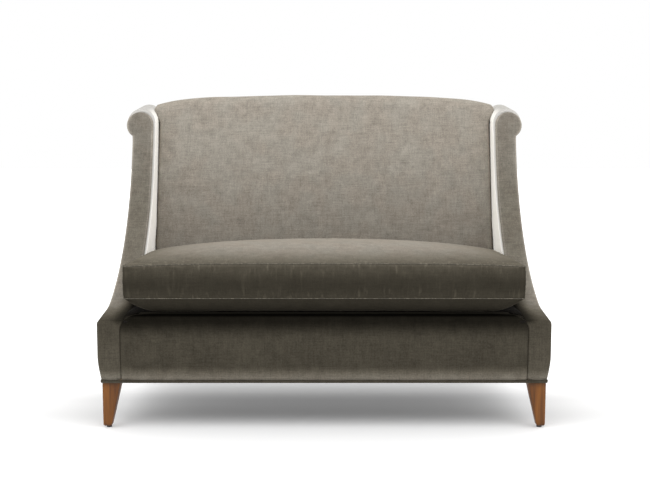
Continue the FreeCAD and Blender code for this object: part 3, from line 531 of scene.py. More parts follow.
def grown(name, points, closed, tree, smooth=True, **sizes):
    """The mesh that a tree makes along a line of points, as an object."""
    mesh = bpy.data.meshes.new(name + "_line")
    count = len(points)
    mesh.from_pydata(points, [(i, (i + 1) % count) for i in range(count if closed else count - 1)], [])
    line = linked(name + "_line", mesh)
    modifier = line.modifiers.new("grow", "NODES")
    modifier.node_group = tree
    for socket in tree.interface.items_tree:
        if socket.in_out == "INPUT" and socket.name in sizes:
            modifier[socket.identifier] = sizes[socket.name]
    result = finished_mesh(line)
    result.name = name
    if smooth:
        result.shade_smooth()
    return linked(name, result)


def vector_of(tree, x=0.0, y=0.0, z=0.0):
    return Socket.of(tree, "ShaderNodeCombineXYZ", {0: x, 1: y, 2: z})


def strung(tree, line, spacing, size, turn, finish):
    """Blocks of a size at a spacing along a line, all given the same turn."""
    spots = Socket.of(tree, "GeometryNodeResampleCurve", {"Curve": line, "Length": spacing}, mode="LENGTH")
    block = Socket.of(tree, "GeometryNodeMeshCube", {"Size": size})
    blocks = Socket.of(tree, "GeometryNodeInstanceOnPoints",
                       {"Points": spots, "Instance": block, "Rotation": turn})
    return close_tree(tree, blocks, finish)


def staple_tree(finish):
    """Staples at a spacing along a line, each a thin bar turned to the line."""
    tree, line, sizes = line_tree("staples", "Spacing", "Length", "Wire")
    bar = vector_of(tree, sizes["Length"], sizes["Wire"], sizes["Wire"])
    tangent = Socket.of(tree, "GeometryNodeInputTangent")
    turn = Socket.of(tree, "FunctionNodeAlignRotationToVector", {"Vector": tangent}, axis="X")
    return strung(tree, line, sizes["Spacing"], bar, turn, finish)


STAPLE_INSET = 0.010
STAPLE_MIDDLE_Y, STAPLE_HALF_RUN = -0.045, 0.22
staple_x, staple_z = dust_high.x - STAPLE_INSET, dust_high.z - DUST_THICKNESS - 0.0014
staple_end_x = staple_x - LEG_WIDTH - 0.02
staples = staple_tree(steel)
staple_lines = {label: [(end * staple_end_x, y, staple_z) for end in (-1, 1)] for label, y in (
    ("front", dust_low.y + STAPLE_INSET), ("rear", dust_high.y - STAPLE_INSET))}
for side, side_name in SIDES:
    staple_lines[side_name] = [(side * staple_x, end * STAPLE_HALF_RUN + STAPLE_MIDDLE_Y, staple_z)
                               for end in (-1, 1)]
for label, line in staple_lines.items():
    fit(grown(f"staples_{label}", line, False, staples, False, Spacing=0.055, Length=0.010, Wire=0.0007),
        steel, "frame", "spring_steel")


# The legs. Square tapered hardwood, stained warm brown and lacquered, their inner sides drawn in, the rear
# pair raked back. Each is screwed up into a corner on a hanger bolt and stands on a nylon glide.
LEG_TIP_WIDTH = 0.025
LEG_TIP_INSET = 0.0005
LEG_RAKE = 0.045
LEG_CHAMFER = 0.004
LEG_EASE = 0.0014
LEG_TIP_Z, LEG_TOP_Z = (corner.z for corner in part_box("leg_front_left"))


def walled(work, rings):
    """Quads between the rings of a mesh that is built by hand, and a face over each end."""
    for first, second in zip(rings, rings[1:]):
        for index in range(len(first)):
            after = (index + 1) % len(first)
            work.faces.new([first[index], first[after], second[after], second[index]])
    work.faces.new(rings[0])
    work.faces.new(rings[-1])


def leg(name, side, row):
    """A taper through three squares, its edges eased. Its sides are quads and its ends are closed."""
    x, y = leg_centre(side, row)
    shift = (LEG_WIDTH - LEG_TIP_WIDTH) / 2 - LEG_TIP_INSET
    tip = (x + side * shift, y - shift if row == "front" else y + shift + LEG_RAKE)
    near_tip = LEG_CHAMFER / (LEG_TOP_Z - LEG_TIP_Z)
    work = bmesh.new()
    rings = []
    for share, width in ((0, LEG_WIDTH), (1 - near_tip, None), (1, LEG_TIP_WIDTH - 2 * LEG_CHAMFER)):
        half = (width or LEG_WIDTH + (LEG_TIP_WIDTH - LEG_WIDTH) * share) / 2
        middle_x, middle_y = x + (tip[0] - x) * share, y + (tip[1] - y) * share
        z = LEG_TOP_Z + (LEG_TIP_Z - LEG_TOP_Z) * share
        rings.append([work.verts.new((middle_x + a * half, middle_y + b * half, z))
                      for a, b in ((-1, -1), (1, -1), (1, 1), (-1, 1))])
    walled(work, rings)
    piece = closed_from(work, name, smooth=False)
    bevel = piece.modifiers.new("eased", "BEVEL")
    bevel.width = LEG_EASE
    bevel.segments = 3
    return applied(piece)


def leg_wood(tree, place):
    up = component(tree, place, "Z")
    bands = mottle(tree, place, 60, (1, 1, 0.07), 4)
    fibres = mottle(tree, place, 700, (1, 1, 0.02), 2)
    share = bands.ramp(0.3, 0.7) * 0.65 + fibres.ramp(0.35, 0.7) * 0.35
    # Darker towards the tip and at the top.
    darker_ends = up.ramp(LEG_TIP_Z, LEG_TIP_Z + 0.012, 0.55, 1.0) * up.ramp(LEG_TOP_Z - 0.02, LEG_TOP_Z, 1.0, 0.7)
    colour = toned(tree, blended(tree, share, paint(126, 76, 20), paint(74, 40, 10)), darker_ends)
    return colour, 0.46 + 0.1 * fibres, 0.05 * fibres, {
        "Specular IOR Level": 0.3, "Coat Weight": 0.06, "Coat Roughness": 0.2}


leg_finish = material("leg_wood", leg_wood)
for side, side_name in SIDES:
    for row in ("front", "rear"):
        fit(leg(f"tapered_leg_{row}_{side_name}", side, row), leg_finish, "frame", "leg_wood",
            f"leg_{row}_{side_name}")


nylon = speckled("glide_nylon", 250, 3, (paint(26, 24, 22), paint(58, 54, 50)), (0.45, 0.2), 0.03)
finish_nodes(nylon, "leg_glides")


# The outside covers of the arms. Taupe velvet over thin wadding, pulled flat over the plywood and tacked
# under the roll and behind the facing.
FRONT_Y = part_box("arm_facing_right")[0].y
COVER_FOOT_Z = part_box("arm_facing_right")[0].z
ARM_OUTER_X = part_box("outside_arm_right")[1].x
FACING = 0.014
NOSE_RADIUS = 0.018
NOSE_Z = 0.3188
SHELF_ANGLE = math.radians(7.5)
SHELF_LENGTH = 0.1328
BEND_END = (-0.202, 0.369)
NECK = (REAR_TOP_Y - 0.201, BACK_TOP_Z - 0.162)
SCROLL_RADIUS = (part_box("arm_facing_right")[1].x - ARM_INNER_X) / 2
ROLL_X = ARM_INNER_X + SCROLL_RADIUS
ROLL_RISE = math.radians(8)
COVER = 0.005
FRAME_REAR_FOOT_Y = REAR_FOOT_Y - COVER / math.cos(REAR_ANGLE)
FOOT_TUCK_HEIGHT = 0.070
SIDE_TUCK = 0.009
FRONT_TUCK = 0.006


def run_line(start, end, steps):
    """A straight run: rows of Y, Z and heading."""
    heading = math.atan2(end[1] - start[1], end[0] - start[0])
    t = np.linspace(0, 1, steps + 1)
    return np.stack([start[0] + (end[0] - start[0]) * t, start[1] + (end[1] - start[1]) * t, heading + 0 * t])


def bend_line(start, end, heading, steps):
    """An arc from start to end that leaves start at a heading: rows of Y, Z and heading."""
    chord = math.atan2(end[1] - start[1], end[0] - start[0])
    radius = math.dist(start, end) / (2 * math.sin(chord - heading))
    headings = np.linspace(heading, 2 * chord - heading, steps + 1)
    return np.stack([start[0] + radius * (np.sin(headings) - math.sin(heading)),
                     start[1] - radius * (np.cos(headings) - math.cos(heading)), headings])


nose_end = (FRONT_Y + NOSE_RADIUS * (1 - math.sin(SHELF_ANGLE)), NOSE_Z + NOSE_RADIUS * math.cos(SHELF_ANGLE))
shelf_end = (nose_end[0] + SHELF_LENGTH * math.cos(SHELF_ANGLE),
             nose_end[1] + SHELF_LENGTH * math.sin(SHELF_ANGLE))
bend = bend_line(shelf_end, BEND_END, SHELF_ANGLE, 10)
sweep = bend_line(BEND_END, NECK, bend[2, -1], 56)
arm_line = np.concatenate([
    run_line((FRONT_Y, COVER_FOOT_Z), (FRONT_Y, NOSE_Z), 16)[:, :-1],
    bend_line((FRONT_Y, NOSE_Z), nose_end, math.pi / 2, 12)[:, :-1],
    run_line(nose_end, shelf_end, 10)[:, :-1], bend[:, :-1], sweep], axis=1)
neck_heading = sweep[2, -1]
scroll_y = NECK[0] + SCROLL_RADIUS * math.cos(neck_heading)
scroll_z = NECK[1] + SCROLL_RADIUS * math.sin(neck_heading)
roll_foot_z = scroll_z - scroll_y * math.tan(ROLL_RISE)
scroll_back = moved_in(scroll_y, scroll_z, neck_heading, FACING)
scroll_plane = (scroll_back[0] - scroll_back[1] / math.tan(neck_heading), 1 / math.tan(neck_heading))
rear_plane = (FRAME_REAR_FOOT_Y, REAR_SLOPE)


def roll_meets(plane, rise=0.0):
    """Where a line over the roll's axis by the rise meets a plane that leans back from its foot."""
    foot_y, slope = plane
    y = (foot_y + slope * (roll_foot_z + rise)) / (1 - slope * math.tan(ROLL_RISE))
    return y, roll_foot_z + rise + y * np.tan(ROLL_RISE)


def inset_line(line, inset):
    return np.stack([*moved_in(*line, inset), line[2]])


def along(line, share):
    """The line's Y, Z and heading at shares of the way along its rows."""
    rows = share * (line.shape[1] - 1)
    return [np.interp(rows, np.arange(line.shape[1]), column) for column in line]


def foot_tuck(z, depth):
    """How far a cover is drawn in near its foot, where it is pulled under the frame."""
    return depth * (1 - way(z, COVER_FOOT_Z, COVER_FOOT_Z + FOOT_TUCK_HEIGHT)) ** 1.5


def ripple(a, b, size):
    """A slow unevenness of padding under cloth, as large as size, at places in metres."""
    return size / 2 * (np.sin(17 * a + 3.1 * np.sin(5 * b)) * np.cos(13 * b - 1.7)
                       + 0.6 * np.sin(31 * a - 11 * b + 0.8) * np.sin(23 * b + 9 * a))


under_roll = math.sqrt(SCROLL_RADIUS ** 2 - (ARM_OUTER_X - COVER - ROLL_X) ** 2) / math.cos(ROLL_RISE)
side_line = inset_line(arm_line, FACING)
side_front, side_rear = roll_meets(scroll_plane, -under_roll), roll_meets(rear_plane, -under_roll)
side_line = np.concatenate([side_line, run_line(side_line[:2, -1], side_front, 1)[:, 1:],
                            run_line(side_front, side_rear, 8)[:, 1:]], axis=1)


def outside_arm(u, v, w):
    start_y, z, heading = along(side_line, v)
    end_y = FRAME_REAR_FOOT_Y + z * REAR_SLOPE
    y = start_y + (end_y - start_y) * (spread(u, 0.6) + 1) / 2
    edge = np.minimum((y - start_y) * np.sin(heading), (end_y - y))
    face = COVER - rounding(edge + 0.0004, 0.004) + ripple(y, z, 0.0008) - 0.0006
    return ARM_OUTER_X - COVER - foot_tuck(z, SIDE_TUCK) + np.where(w > 0.5, face, 0), y, z


Spot = collections.namedtuple("Spot", "up aside height side depth")


def velvet(name, warm, cool, painted_shading, depth=1.0, rim=0.3, folds=None):
    """Short-pile velvet in patches a few centimetres wide and fine streaks along and across. The function
    given fourth is called with a spot and gives the painted light and shade there, which stand in for how
    light falls on the cloth: at.up and at.aside are its upward and sideways slopes, at.height its height
    over the floor, at.side its distance from the middle and at.depth its place from front to back. depth is
    the strength of the streaks, and rim that of the light fibres seen edge on. folds(tree, place, height)
    adds small creases, as bumps and as painted highlights along them."""
    def build(tree, place):
        normal = Socket.of(tree, "ShaderNodeTexCoord", outlet="Normal")
        across, side = component(tree, normal, "X"), component(tree, place, "X")
        height = component(tree, place, "Z")
        at = Spot(component(tree, normal, "Z"), across.math("ABSOLUTE", across, 0.0), height,
                  side.math("ABSOLUTE", side, 0.0), component(tree, place, "Y"))
        patches = mottle(tree, place, 13, (1, 1, 0.8), 2)
        brushed = mottle(tree, place, 42, (1, 1, 0.7), 3)
        wefts = mottle(tree, place, 250, (0.09, 0.09, 1), 2)
        warps = mottle(tree, place, 270, (1, 0.3, 0.09), 2)
        grain = mottle(tree, place, 250, detail=3)
        pile = mottle(tree, place, 1400, detail=2)
        shade = (1 + depth * (0.45 * (patches - 0.5) + 0.5 * (brushed - 0.5) + 0.5 * (wefts - 0.5)
                              + 0.4 * (warps - 0.5) + 0.75 * (grain - 0.5) + 0.5 * (pile - 0.5)))
        bumps = 0.10 * pile + 0.10 * brushed + 0.05 * (wefts + warps)
        if folds:
            creases = folds(tree, place, height)
            # The creases also lighten the colour: painted highlights along them.
            shade, bumps = shade + 0.7 * creases, bumps + 1.2 * creases
        cloth = blended(tree, patches.ramp(0.36, 0.64), warm, cool)
        # Painted light and shade: the spot's tone darkens or lightens the colour as light would, and turns
        # its darkest places towards a warm shade hue.
        tone = painted_shading(at)
        cloth = blended(tree, tone.ramp(0.0, 0.9), PAINTED_SHADE_HUE, cloth) if depth > 0.2 else cloth
        return toned(tree, cloth, tone * shade), 0.9 - 0.1 * brushed, bumps, {
            "Sheen Weight": rim, "Sheen Roughness": 0.34, "Sheen Tint": SHEEN, "Specular IOR Level": 0.0}

    return material(name, build)


SHEEN = paint(166, 158, 142)
# The warm hue that the painted shade turns the velvet towards in its darkest places.
PAINTED_SHADE_HUE = paint(138, 130, 113)
TAUPE_WARM, TAUPE_COOL = paint(137, 130, 120), paint(132, 127, 118)


def taupe_velvet(part, painted_shading, *looks):
    return velvet(f"taupe_velvet_{part}", TAUPE_WARM, TAUPE_COOL, painted_shading, *looks)


def upright_painted_shade(at):
    """Painted shade: darker towards the foot of the covers, lighter higher up."""
    return at.height.ramp(0.18, 0.75, 0.42, 1.0)


taupe_side = taupe_velvet("side", upright_painted_shade)
for side, side_name in SIDES:
    pad(f"outside_arm_cover_{side_name}", (36, 110, 1), mirrored(outside_arm, side), taupe_side,
        "taupe_velvet", f"outside_arm_{side_name}")


# The ivory insides of the arms. One piece of ivory velvet on each side, over a pad, runs up from the seat
# over the roll and under it to the outside cover, and is tacked there. It ends at the scroll and the back.
PLY_INNER_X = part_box("arm_ply_inner_right")[0].x
PAD_FOOT_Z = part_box("inside_arm_right")[0].z
PAD_FRONT_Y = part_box("inside_arm_right")[0].y
CORE_RADIUS = 0.0305
POST_PLANE = (FACE_FOOT_Y + (PAD_DEPTH + 0.003) / math.cos(BACK_ANGLE), BACK_SLOPE)
pad_line = inset_line(arm_line, FACING)
pad_line = pad_line[:, (pad_line[0] > PAD_FRONT_Y) & (pad_line[1] > NOSE_Z)]
axis_front, axis_rear = roll_meets(scroll_plane), roll_meets(rear_plane)
pad_line = np.concatenate([
    run_line((PAD_FRONT_Y, PAD_FOOT_Z), (PAD_FRONT_Y, pad_line[1, 0] - 0.001), 6), pad_line,
    run_line(pad_line[:2, -1], axis_front, 4)[:, 1:]], axis=1)
FLAT_SHARE = 0.66
BACK_DRAW = 0.005
ROLL_TURN = math.pi + math.acos((ARM_OUTER_X - COVER - ROLL_X) / SCROLL_RADIUS)


def inside_arm(u, v, w):
    """The flat inside first, up to the level of the roll's axis, then the turn over the roll."""
    start_y, start_z, heading = along(pad_line, way(v, 0, FLAT_SHARE))
    turn = way(v, FLAT_SHARE, 1) * ROLL_TURN
    near_axis = way(start_z, 0.82, axis_front[1]) ** 2
    slope = math.tan(ROLL_RISE) * way(start_z, 0.45, axis_front[1])
    post_y, frame_y = ((foot_y + lean * (start_z - slope * start_y)) / (1 - lean * slope)
                       for foot_y, lean in (POST_PLANE, rear_plane))
    end_y = post_y + (frame_y - post_y) * near_axis
    end_z = start_z + slope * (end_y - start_y)
    on_roll = turn > 0
    rise = SCROLL_RADIUS * np.sin(turn) / math.cos(ROLL_RISE)
    roll_start, roll_end = roll_meets(scroll_plane, rise), roll_meets(rear_plane, rise)
    start_y, start_z = np.where(on_roll, roll_start, (start_y, start_z))
    end_y, end_z = np.where(on_roll, roll_end, (end_y, end_z))
    reach = (spread(u, 0.6) + 1) / 2
    y, z = start_y + (end_y - start_y) * reach, start_z + (end_z - start_z) * reach
    edge = (y - start_y) * np.where(on_roll, 1, np.maximum(np.sin(heading), 0.1))
    sunk = rounding(edge + 0.0004, 0.003)
    full = SCROLL_RADIUS - sunk - (1 - w) * (SCROLL_RADIUS - CORE_RADIUS - sunk)
    leans_in = BACK_DRAW * reach ** 2 * (3 - 2 * reach) * way(z, 0.52, 0.58) * (1 - near_axis)
    face_x = ARM_INNER_X + sunk - leans_in - ripple(y, z, 0.0010) * (1 - near_axis) * way(edge, 0, 0.02)
    flat_x = np.where(w > 0.5, face_x, PLY_INNER_X - 0.0005)
    roll_x = ROLL_X - full * np.cos(turn)
    lift = (full - SCROLL_RADIUS) * np.sin(turn)
    return np.where(on_roll, roll_x, flat_x), y, z + np.where(on_roll, lift, 0)


def ivory_painted_light(at):
    """Painted light and shade: brightest on the upright inside, darker where it faces forward and over the
    top of the roll, painted shade almost black below the cushion, and a little lighter low down.
    """
    return (at.aside.ramp(0.25, 0.9, 0.57, 1.0) * at.up.ramp(0.1, 0.9, 1.0, 0.77)
            * at.height.ramp(0.384, 0.387, 0.05, 1.0) * at.height.ramp(0.55, 0.78, 1.06, 1.0))


ivory = velvet("ivory_velvet", paint(247, 244, 239), paint(243, 240, 233), ivory_painted_light, 0.10, 0.03)
for side, side_name in SIDES:
    pad(f"inside_arm_cover_{side_name}", (28, 130, 1), mirrored(inside_arm, side), ivory, "ivory_velvet",
        f"inside_arm_{side_name}", f"arm_roll_{side_name}")


# The facings. A padded strip of taupe velvet on each arm covers its front, runs up the swept edge and ends
# in a domed round scroll that closes the roll's front. It is cut in one piece and slip-stitched at its edges.
BORDER_END_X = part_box("front_border")[1].x
BORDER_CORNER = 0.050
PLATFORM_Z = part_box("front_border")[1].z
SCROLL_OVERLAP = 0.038
FACING_CROWN = 0.004
FACING_SETBACK = 0.0085
LOW_SETBACK_CUT = 0.002
DISC_RADIUS = SCROLL_RADIUS - FACING_SETBACK / 2
DISC_X = ROLL_X + FACING_SETBACK / 2
disc_share = (1 - np.cos(np.linspace(0, math.pi, 37))) / 2
disc_reach = (SCROLL_RADIUS + DISC_RADIUS) * disc_share
facing_line = np.concatenate([arm_line, np.stack([
    NECK[0] + disc_reach[1:] * math.cos(neck_heading), NECK[1] + disc_reach[1:] * math.sin(neck_heading),
    neck_heading + 0 * disc_reach[1:]])], axis=1)
past_neck = np.concatenate([-np.hypot(arm_line[0] - NECK[0], arm_line[1] - NECK[1]), disc_reach[1:]])


def border_half_width(z):
    """Half the front border's width at a height, with its rounded upper corners."""
    rise = np.clip(z - (PLATFORM_Z - BORDER_CORNER), 0, BORDER_CORNER)
    return BORDER_END_X - BORDER_CORNER + np.sqrt(BORDER_CORNER ** 2 - rise ** 2)


def larger(first, second, blend):
    """The larger of two numbers, rounded off where they are about equal."""
    first, second = (np.exp(np.clip(number / blend, -40, 40)) for number in (first, second))
    return blend * np.log(first + second)


def facing(u, v, w):
    y, z, heading = along(facing_line, v)
    beyond = along(past_neck[np.newaxis], v)[0]
    on_front = z < PLATFORM_Z
    strip_low = np.where(on_front & (beyond < 0), np.maximum(ARM_INNER_X, border_half_width(z)), ARM_INNER_X)
    setback = FACING_SETBACK - LOW_SETBACK_CUT * way(z, 0.80, 0.65)
    strip_low = strip_low + setback * way(z, PLATFORM_Z + 0.03, PLATFORM_Z + 0.08)
    strip_high = ARM_OUTER_X - foot_tuck(z, SIDE_TUCK)
    disc_half = np.sqrt(np.clip(DISC_RADIUS ** 2 - (beyond - SCROLL_RADIUS) ** 2, 0, None)) * (beyond > 0)
    on_strip = beyond < SCROLL_OVERLAP
    low = np.where(on_strip, strip_low, DISC_X - disc_half)
    high = np.where(on_strip, np.maximum(strip_high, DISC_X + disc_half), DISC_X + disc_half)
    x = (low + high) / 2 + (high - low) / 2 * np.sin((2 * u - 1) * math.pi / 2)
    strip_edge = np.minimum(np.minimum(x - strip_low, strip_high - x), SCROLL_OVERLAP - beyond)
    disc_edge = DISC_RADIUS - np.hypot(x - DISC_X, beyond - SCROLL_RADIUS)
    edge = larger(strip_edge, disc_edge, 0.003)
    inner_side = (x - low) < (high - x)
    radius = np.where(inner_side, np.where(on_front & (beyond < 0), 0.005, 0.006), 0.009)
    crown = FACING_CROWN * (1 - np.exp(-(edge / 0.016) ** 2))
    rise = (FACING - FACING_CROWN) * (1 - rounding(edge, radius) / radius) + crown
    rise = rise + ripple(x * 2, y + z, 0.0009) * way(edge, 0, 0.02)
    inset = FACING - rise * w + foot_tuck(z, FRONT_TUCK) * (beyond < 0)
    return x, *moved_in(y, z, heading, inset)


def facing_painted_light(at):
    """Painted light and shade: dark on the upright front, lighter up the sweep and along the very foot,
    painted highlights at both rounded edges, and painted shade almost black beside the gap under the cushion."""
    front = 0.2 + at.height.ramp(0.156, 0.186, 0.26, 0.0) + at.height.ramp(0.2, 0.334, 0.06, 0.0)
    sweep = (at.height.ramp(0.334, 0.362, 0.0, 0.58) - at.height.ramp(0.37, 0.5, 0.0, 0.27)
             + at.height.ramp(0.6, 0.98, 0.0, 0.22))
    rim = 1 + at.aside.ramp(0.1, 0.7, 0.0, 0.7) * at.height.ramp(0.3, 0.45, 0.1, 1.0)
    gap = at.height.ramp(0.318, 0.338, 0.0, 1.0) * at.height.ramp(0.385, 0.435, 1.0, 0.0)
    return (front + sweep) * rim * (1 - gap * at.side.ramp(0.606, 0.664, 0.98, 0.0))


facing_finish = taupe_velvet("facing", facing_painted_light)
for side, side_name in SIDES:
    pad(f"facing_pad_{side_name}", (32, facing_line.shape[1] - 1, 1), mirrored(facing, side), facing_finish,
        "taupe_velvet", f"arm_facing_{side_name}")


# The front border. A padded panel of taupe velvet between the arms, its upper corners rounded, which rolls
# over the front rail and is stitched to the seat deck. It is slip-stitched to the arms' facings.
BORDER_EDGE_RADIUS = 0.022
BORDER_CAP_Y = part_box("front_border")[1].y
border_line = np.concatenate([
    run_line((FRONT_Y, COVER_FOOT_Z), (FRONT_Y, PLATFORM_Z - BORDER_EDGE_RADIUS), 26)[:, :-1],
    bend_line((FRONT_Y, PLATFORM_Z - BORDER_EDGE_RADIUS), (FRONT_Y + BORDER_EDGE_RADIUS, PLATFORM_Z),
              math.pi / 2, 12)[:, :-1],
    run_line((FRONT_Y + BORDER_EDGE_RADIUS, PLATFORM_Z), (BORDER_CAP_Y, PLATFORM_Z), 5)], axis=1)


def border(u, v, w):
    y, z, heading = along(border_line, v)
    half = np.where(w < 0.5, np.maximum(border_half_width(z), ARM_INNER_X - 0.0005), border_half_width(z))
    x = half * spread(u, 0.7)
    edge = half - np.abs(x)
    rise = FACING - 0.002 - rounding(edge + 0.0002, 0.005) + 0.002 * (1 - np.exp(-(edge / 0.03) ** 2))
    rise = rise + ripple(x, z * 1.5, 0.0010) * (z < PLATFORM_Z - 0.01)
    inset = FACING - rise * w + foot_tuck(z, FRONT_TUCK)
    return x, *moved_in(y, z, heading, inset)


def border_painted_shade(at):
    """Painted shade: darkest under the cushion, even down the front, and painted light along the foot that is
    pulled under.
    """
    return (at.height.ramp(0.152, 0.196, 0.36, 0.0) + at.height.ramp(0.27, 0.335, 0.19, 0.035)
            - at.height.ramp(0.342, 0.350, 0.0, 0.03))


border_finish = taupe_velvet("border", border_painted_shade, 1.0, 0.1)
pad("front_border_pad", (150, border_line.shape[1] - 1, 1), border, border_finish, "taupe_velvet",
    "front_border")


# The inside back. Taupe velvet pulled over the filling, up the face, over the crest and down to the outside
# back, rounded at its ends where it is tucked beside the arms and wider where it passes over the rolls.
SHOULDER_X = ARM_INNER_X + 0.014


def back_half_width(y, z):
    """The inside back's half width: to the arm below the roll's axis, and round the roll over it."""
    over = np.clip(z - (roll_foot_z + y * math.tan(ROLL_RISE)), 0, SCROLL_RADIUS)
    gap = 0.0055 - 0.0080 * way(over, 0, 0.02)
    return np.minimum(SHOULDER_X, ROLL_X - np.sqrt(SCROLL_RADIUS ** 2 - over ** 2)) - gap


def inside_back(u, v, w):
    across = spread(u, 0.45)
    y, z, heading = back_line(np.abs(across), v)
    half = back_half_width(y, z)
    x = across * half
    edge = half - np.abs(x)
    sunk = rounding(edge + 0.0004, 0.008) + (1 - w) * BACK_COVER
    sunk = sunk - ripple(x, z, 0.0016) * way(edge, 0, 0.05) * way(v, 1, 0.9)
    return x, *moved_in(y, z, heading, sunk)


def back_painted_shade(at):
    """Painted shade: lightest near the crest and darker towards the seat."""
    return at.height.ramp(0.45, 1.02, 0.80, 1.12)


taupe = taupe_velvet("back", back_painted_shade)
pad("inside_back_cover", (130, 96, 1), inside_back, taupe, "taupe_velvet", "inside_back", fill=0.9)


def shoulder_end(side, side_name):
    """The flat end of the back over the roll, a small panel sewn under the edge of the cover."""
    y, z, heading = back_line(np.ones(241), np.linspace(0, 1, 241))
    over = z > roll_foot_z + y * math.tan(ROLL_RISE) + 0.012
    outline = np.stack(moved_in(y, z, heading, 0.0035), axis=1)[over]
    work = bmesh.new()
    walled(work, [[work.verts.new((side * (SHOULDER_X - inset), *point)) for point in outline]
                  for inset in (0.004, 0.0006)])
    return closed_from(work, f"shoulder_end_{side_name}", smooth=False)


for side, side_name in SIDES:
    fit(shoulder_end(side, side_name), taupe, "frame", "taupe_velvet")


# The outside back. A flat panel of taupe velvet over board, tacked under the crest and slip-stitched down
# both sides, with a round padded disc that closes the rear end of each arm's roll.
roll_end_z = axis_rear[1]
PANEL_FOOT_Z = COVER_FOOT_Z + 0.0007


def outside_back(u, v, w):
    share = spread(u, 0.5)
    top_z = REAR_TOP_Z - 0.2 * crest_fall(np.abs(share)) + 0.0004
    z = PANEL_FOOT_Z + (top_z - PANEL_FOOT_Z) * v
    past_roll = way(z, roll_end_z - 0.045, roll_end_z + 0.005)
    narrowing = (ARM_OUTER_X - SHOULDER_X) * past_roll ** 2 * (3 - 2 * past_roll)
    half = ARM_OUTER_X - foot_tuck(z, SIDE_TUCK) - narrowing
    x = share * half
    edge = np.minimum(half - np.abs(x), top_z - z)
    out = COVER - rounding(edge + 0.0003, 0.005) - foot_tuck(z, 0.003) - 0.0012
    out = out + ripple(x, z, 0.0012) * way(edge, 0, 0.04)
    return x, FRAME_REAR_FOOT_Y + z * REAR_SLOPE + np.where(w > 0.5, out / math.cos(REAR_ANGLE), 0), z


def roll_end(u, v, w):
    """A disc whose cells are a square's, pressed into a circle."""
    a, b = 2 * u - 1, 2 * v - 1
    size = np.sin(np.maximum(np.abs(a), np.abs(b)) * math.pi / 2)
    press = size / np.maximum(np.hypot(a, b), 1e-9)
    reach, edge = SCROLL_RADIUS - 0.0004, 0.008
    out = (COVER + 0.001) * (1 - rounding((1 - size) * reach, edge) / edge) - 0.0006
    z = roll_end_z + reach * b * press
    return ROLL_X + reach * a * press, FRAME_REAR_FOOT_Y + z * REAR_SLOPE + np.where(w > 0.5, out, 0), z


pad("outside_back_cover", (90, 70, 1), outside_back, taupe_side, "taupe_velvet", "outside_back")
for side, side_name in SIDES:
    pad(f"roll_end_pad_{side_name}", (24, 24, 1), mirrored(roll_end, side), taupe_side, "taupe_velvet",
        "outside_back")


# The bottom band. A narrow strip of velvet over cord-stiffened tape, folded round the foot of the covers
# and tacked to the underside of the frame.
band_low, band_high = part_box("bottom_band")


def rounded(tree, line, count, radius):
    """A line with its corners rounded in a number of steps."""
    return Socket.of(tree, "GeometryNodeFilletCurve", {"Curve": line, "Count": count, "Radius": radius},
                     mode="POLY")


def swept(tree, line, profile, caps=False):
    return Socket.of(tree, "GeometryNodeCurveToMesh",
                     {"Curve": line, "Profile Curve": profile, "Fill Caps": caps})


def band_tree(finish):
    """A strip with rounded edges, swept round a rectangle with rounded corners."""
    tree, line, sizes = line_tree("bottom_band", "Thickness", "Height", "Corner", "Edge")
    path = rounded(tree, line, 6, sizes["Corner"])
    strip = Socket.of(tree, "GeometryNodeCurvePrimitiveQuadrilateral",
                      {"Width": sizes["Thickness"], "Height": sizes["Height"]})
    return close_tree(tree, swept(tree, path, rounded(tree, strip, 3, sizes["Edge"])), finish)


def band_painted_shade(at):
    """Painted shade on its upper edge and painted light below it."""
    return at.up.ramp(-0.6, 0.6, 0.26, 0.12)


band_finish = taupe_velvet("band", band_painted_shade)
band_thickness = 0.005
band_middle = (band_low + band_high) / 2
band_reach_x = band_high.x - band_middle.x - band_thickness / 2
band_reach_y = band_high.y - band_middle.y - band_thickness / 2
band_corners = [(band_middle.x + a * band_reach_x, band_middle.y + b * band_reach_y, band_middle.z)
                for a, b in ((-1, -1), (1, -1), (1, 1), (-1, 1))]
fit(grown("bottom_band_strip", band_corners, True, band_tree(band_finish), Thickness=band_thickness,
          Height=band_high.z - band_low.z, Corner=0.008, Edge=0.0018),
    band_finish, "frame", "taupe_velvet", "bottom_band")


# The loose seat cushion. A boxed cover of taupe velvet, sewn with plain seams top and bottom, over a foam
# core with a fibre wrap. It is crowned above and below, bulges at its front, and is only laid in place.
cushion_low, cushion_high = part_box("cushion_cover")
CUSHION_HALF = cushion_high.x + 0.002
LOW_SEAM_Z, HIGH_SEAM_Z = PLATFORM_Z + 0.050, PLATFORM_Z + 0.147
FRONT_BULGE = 0.008
FRONT_DRAW = 0.005
SEAM_BOW = 0.008
REAR_DROP = 0.012
CUSHION_CROWN = cushion_high.z - HIGH_SEAM_Z - SEAM_BOW - 0.0035
CUSHION_DROP = LOW_SEAM_Z - cushion_low.z
CREST_SHARE = 0.46
UNDER_ROUND = 0.08
CORNER_RADIUS = 0.007
CUSHION_GAP = 0.014
ZIP_FOOT_Y = FACE_FOOT_Y - CUSHION_GAP / math.cos(BACK_ANGLE)
CLOTH_FRAMES = 20
CLOTH_REACH = 0.0035


def seam_rise(x, y):
    """How far the upper seam stands over its front ends: the filling lifts its middle, its rear sinks."""
    lift = SEAM_BOW * (1 - way(np.abs(x), 0, CUSHION_HALF) ** 4)
    return lift - REAR_DROP * way(y, cushion_low.y, cushion_low.y + 0.6) ** 2


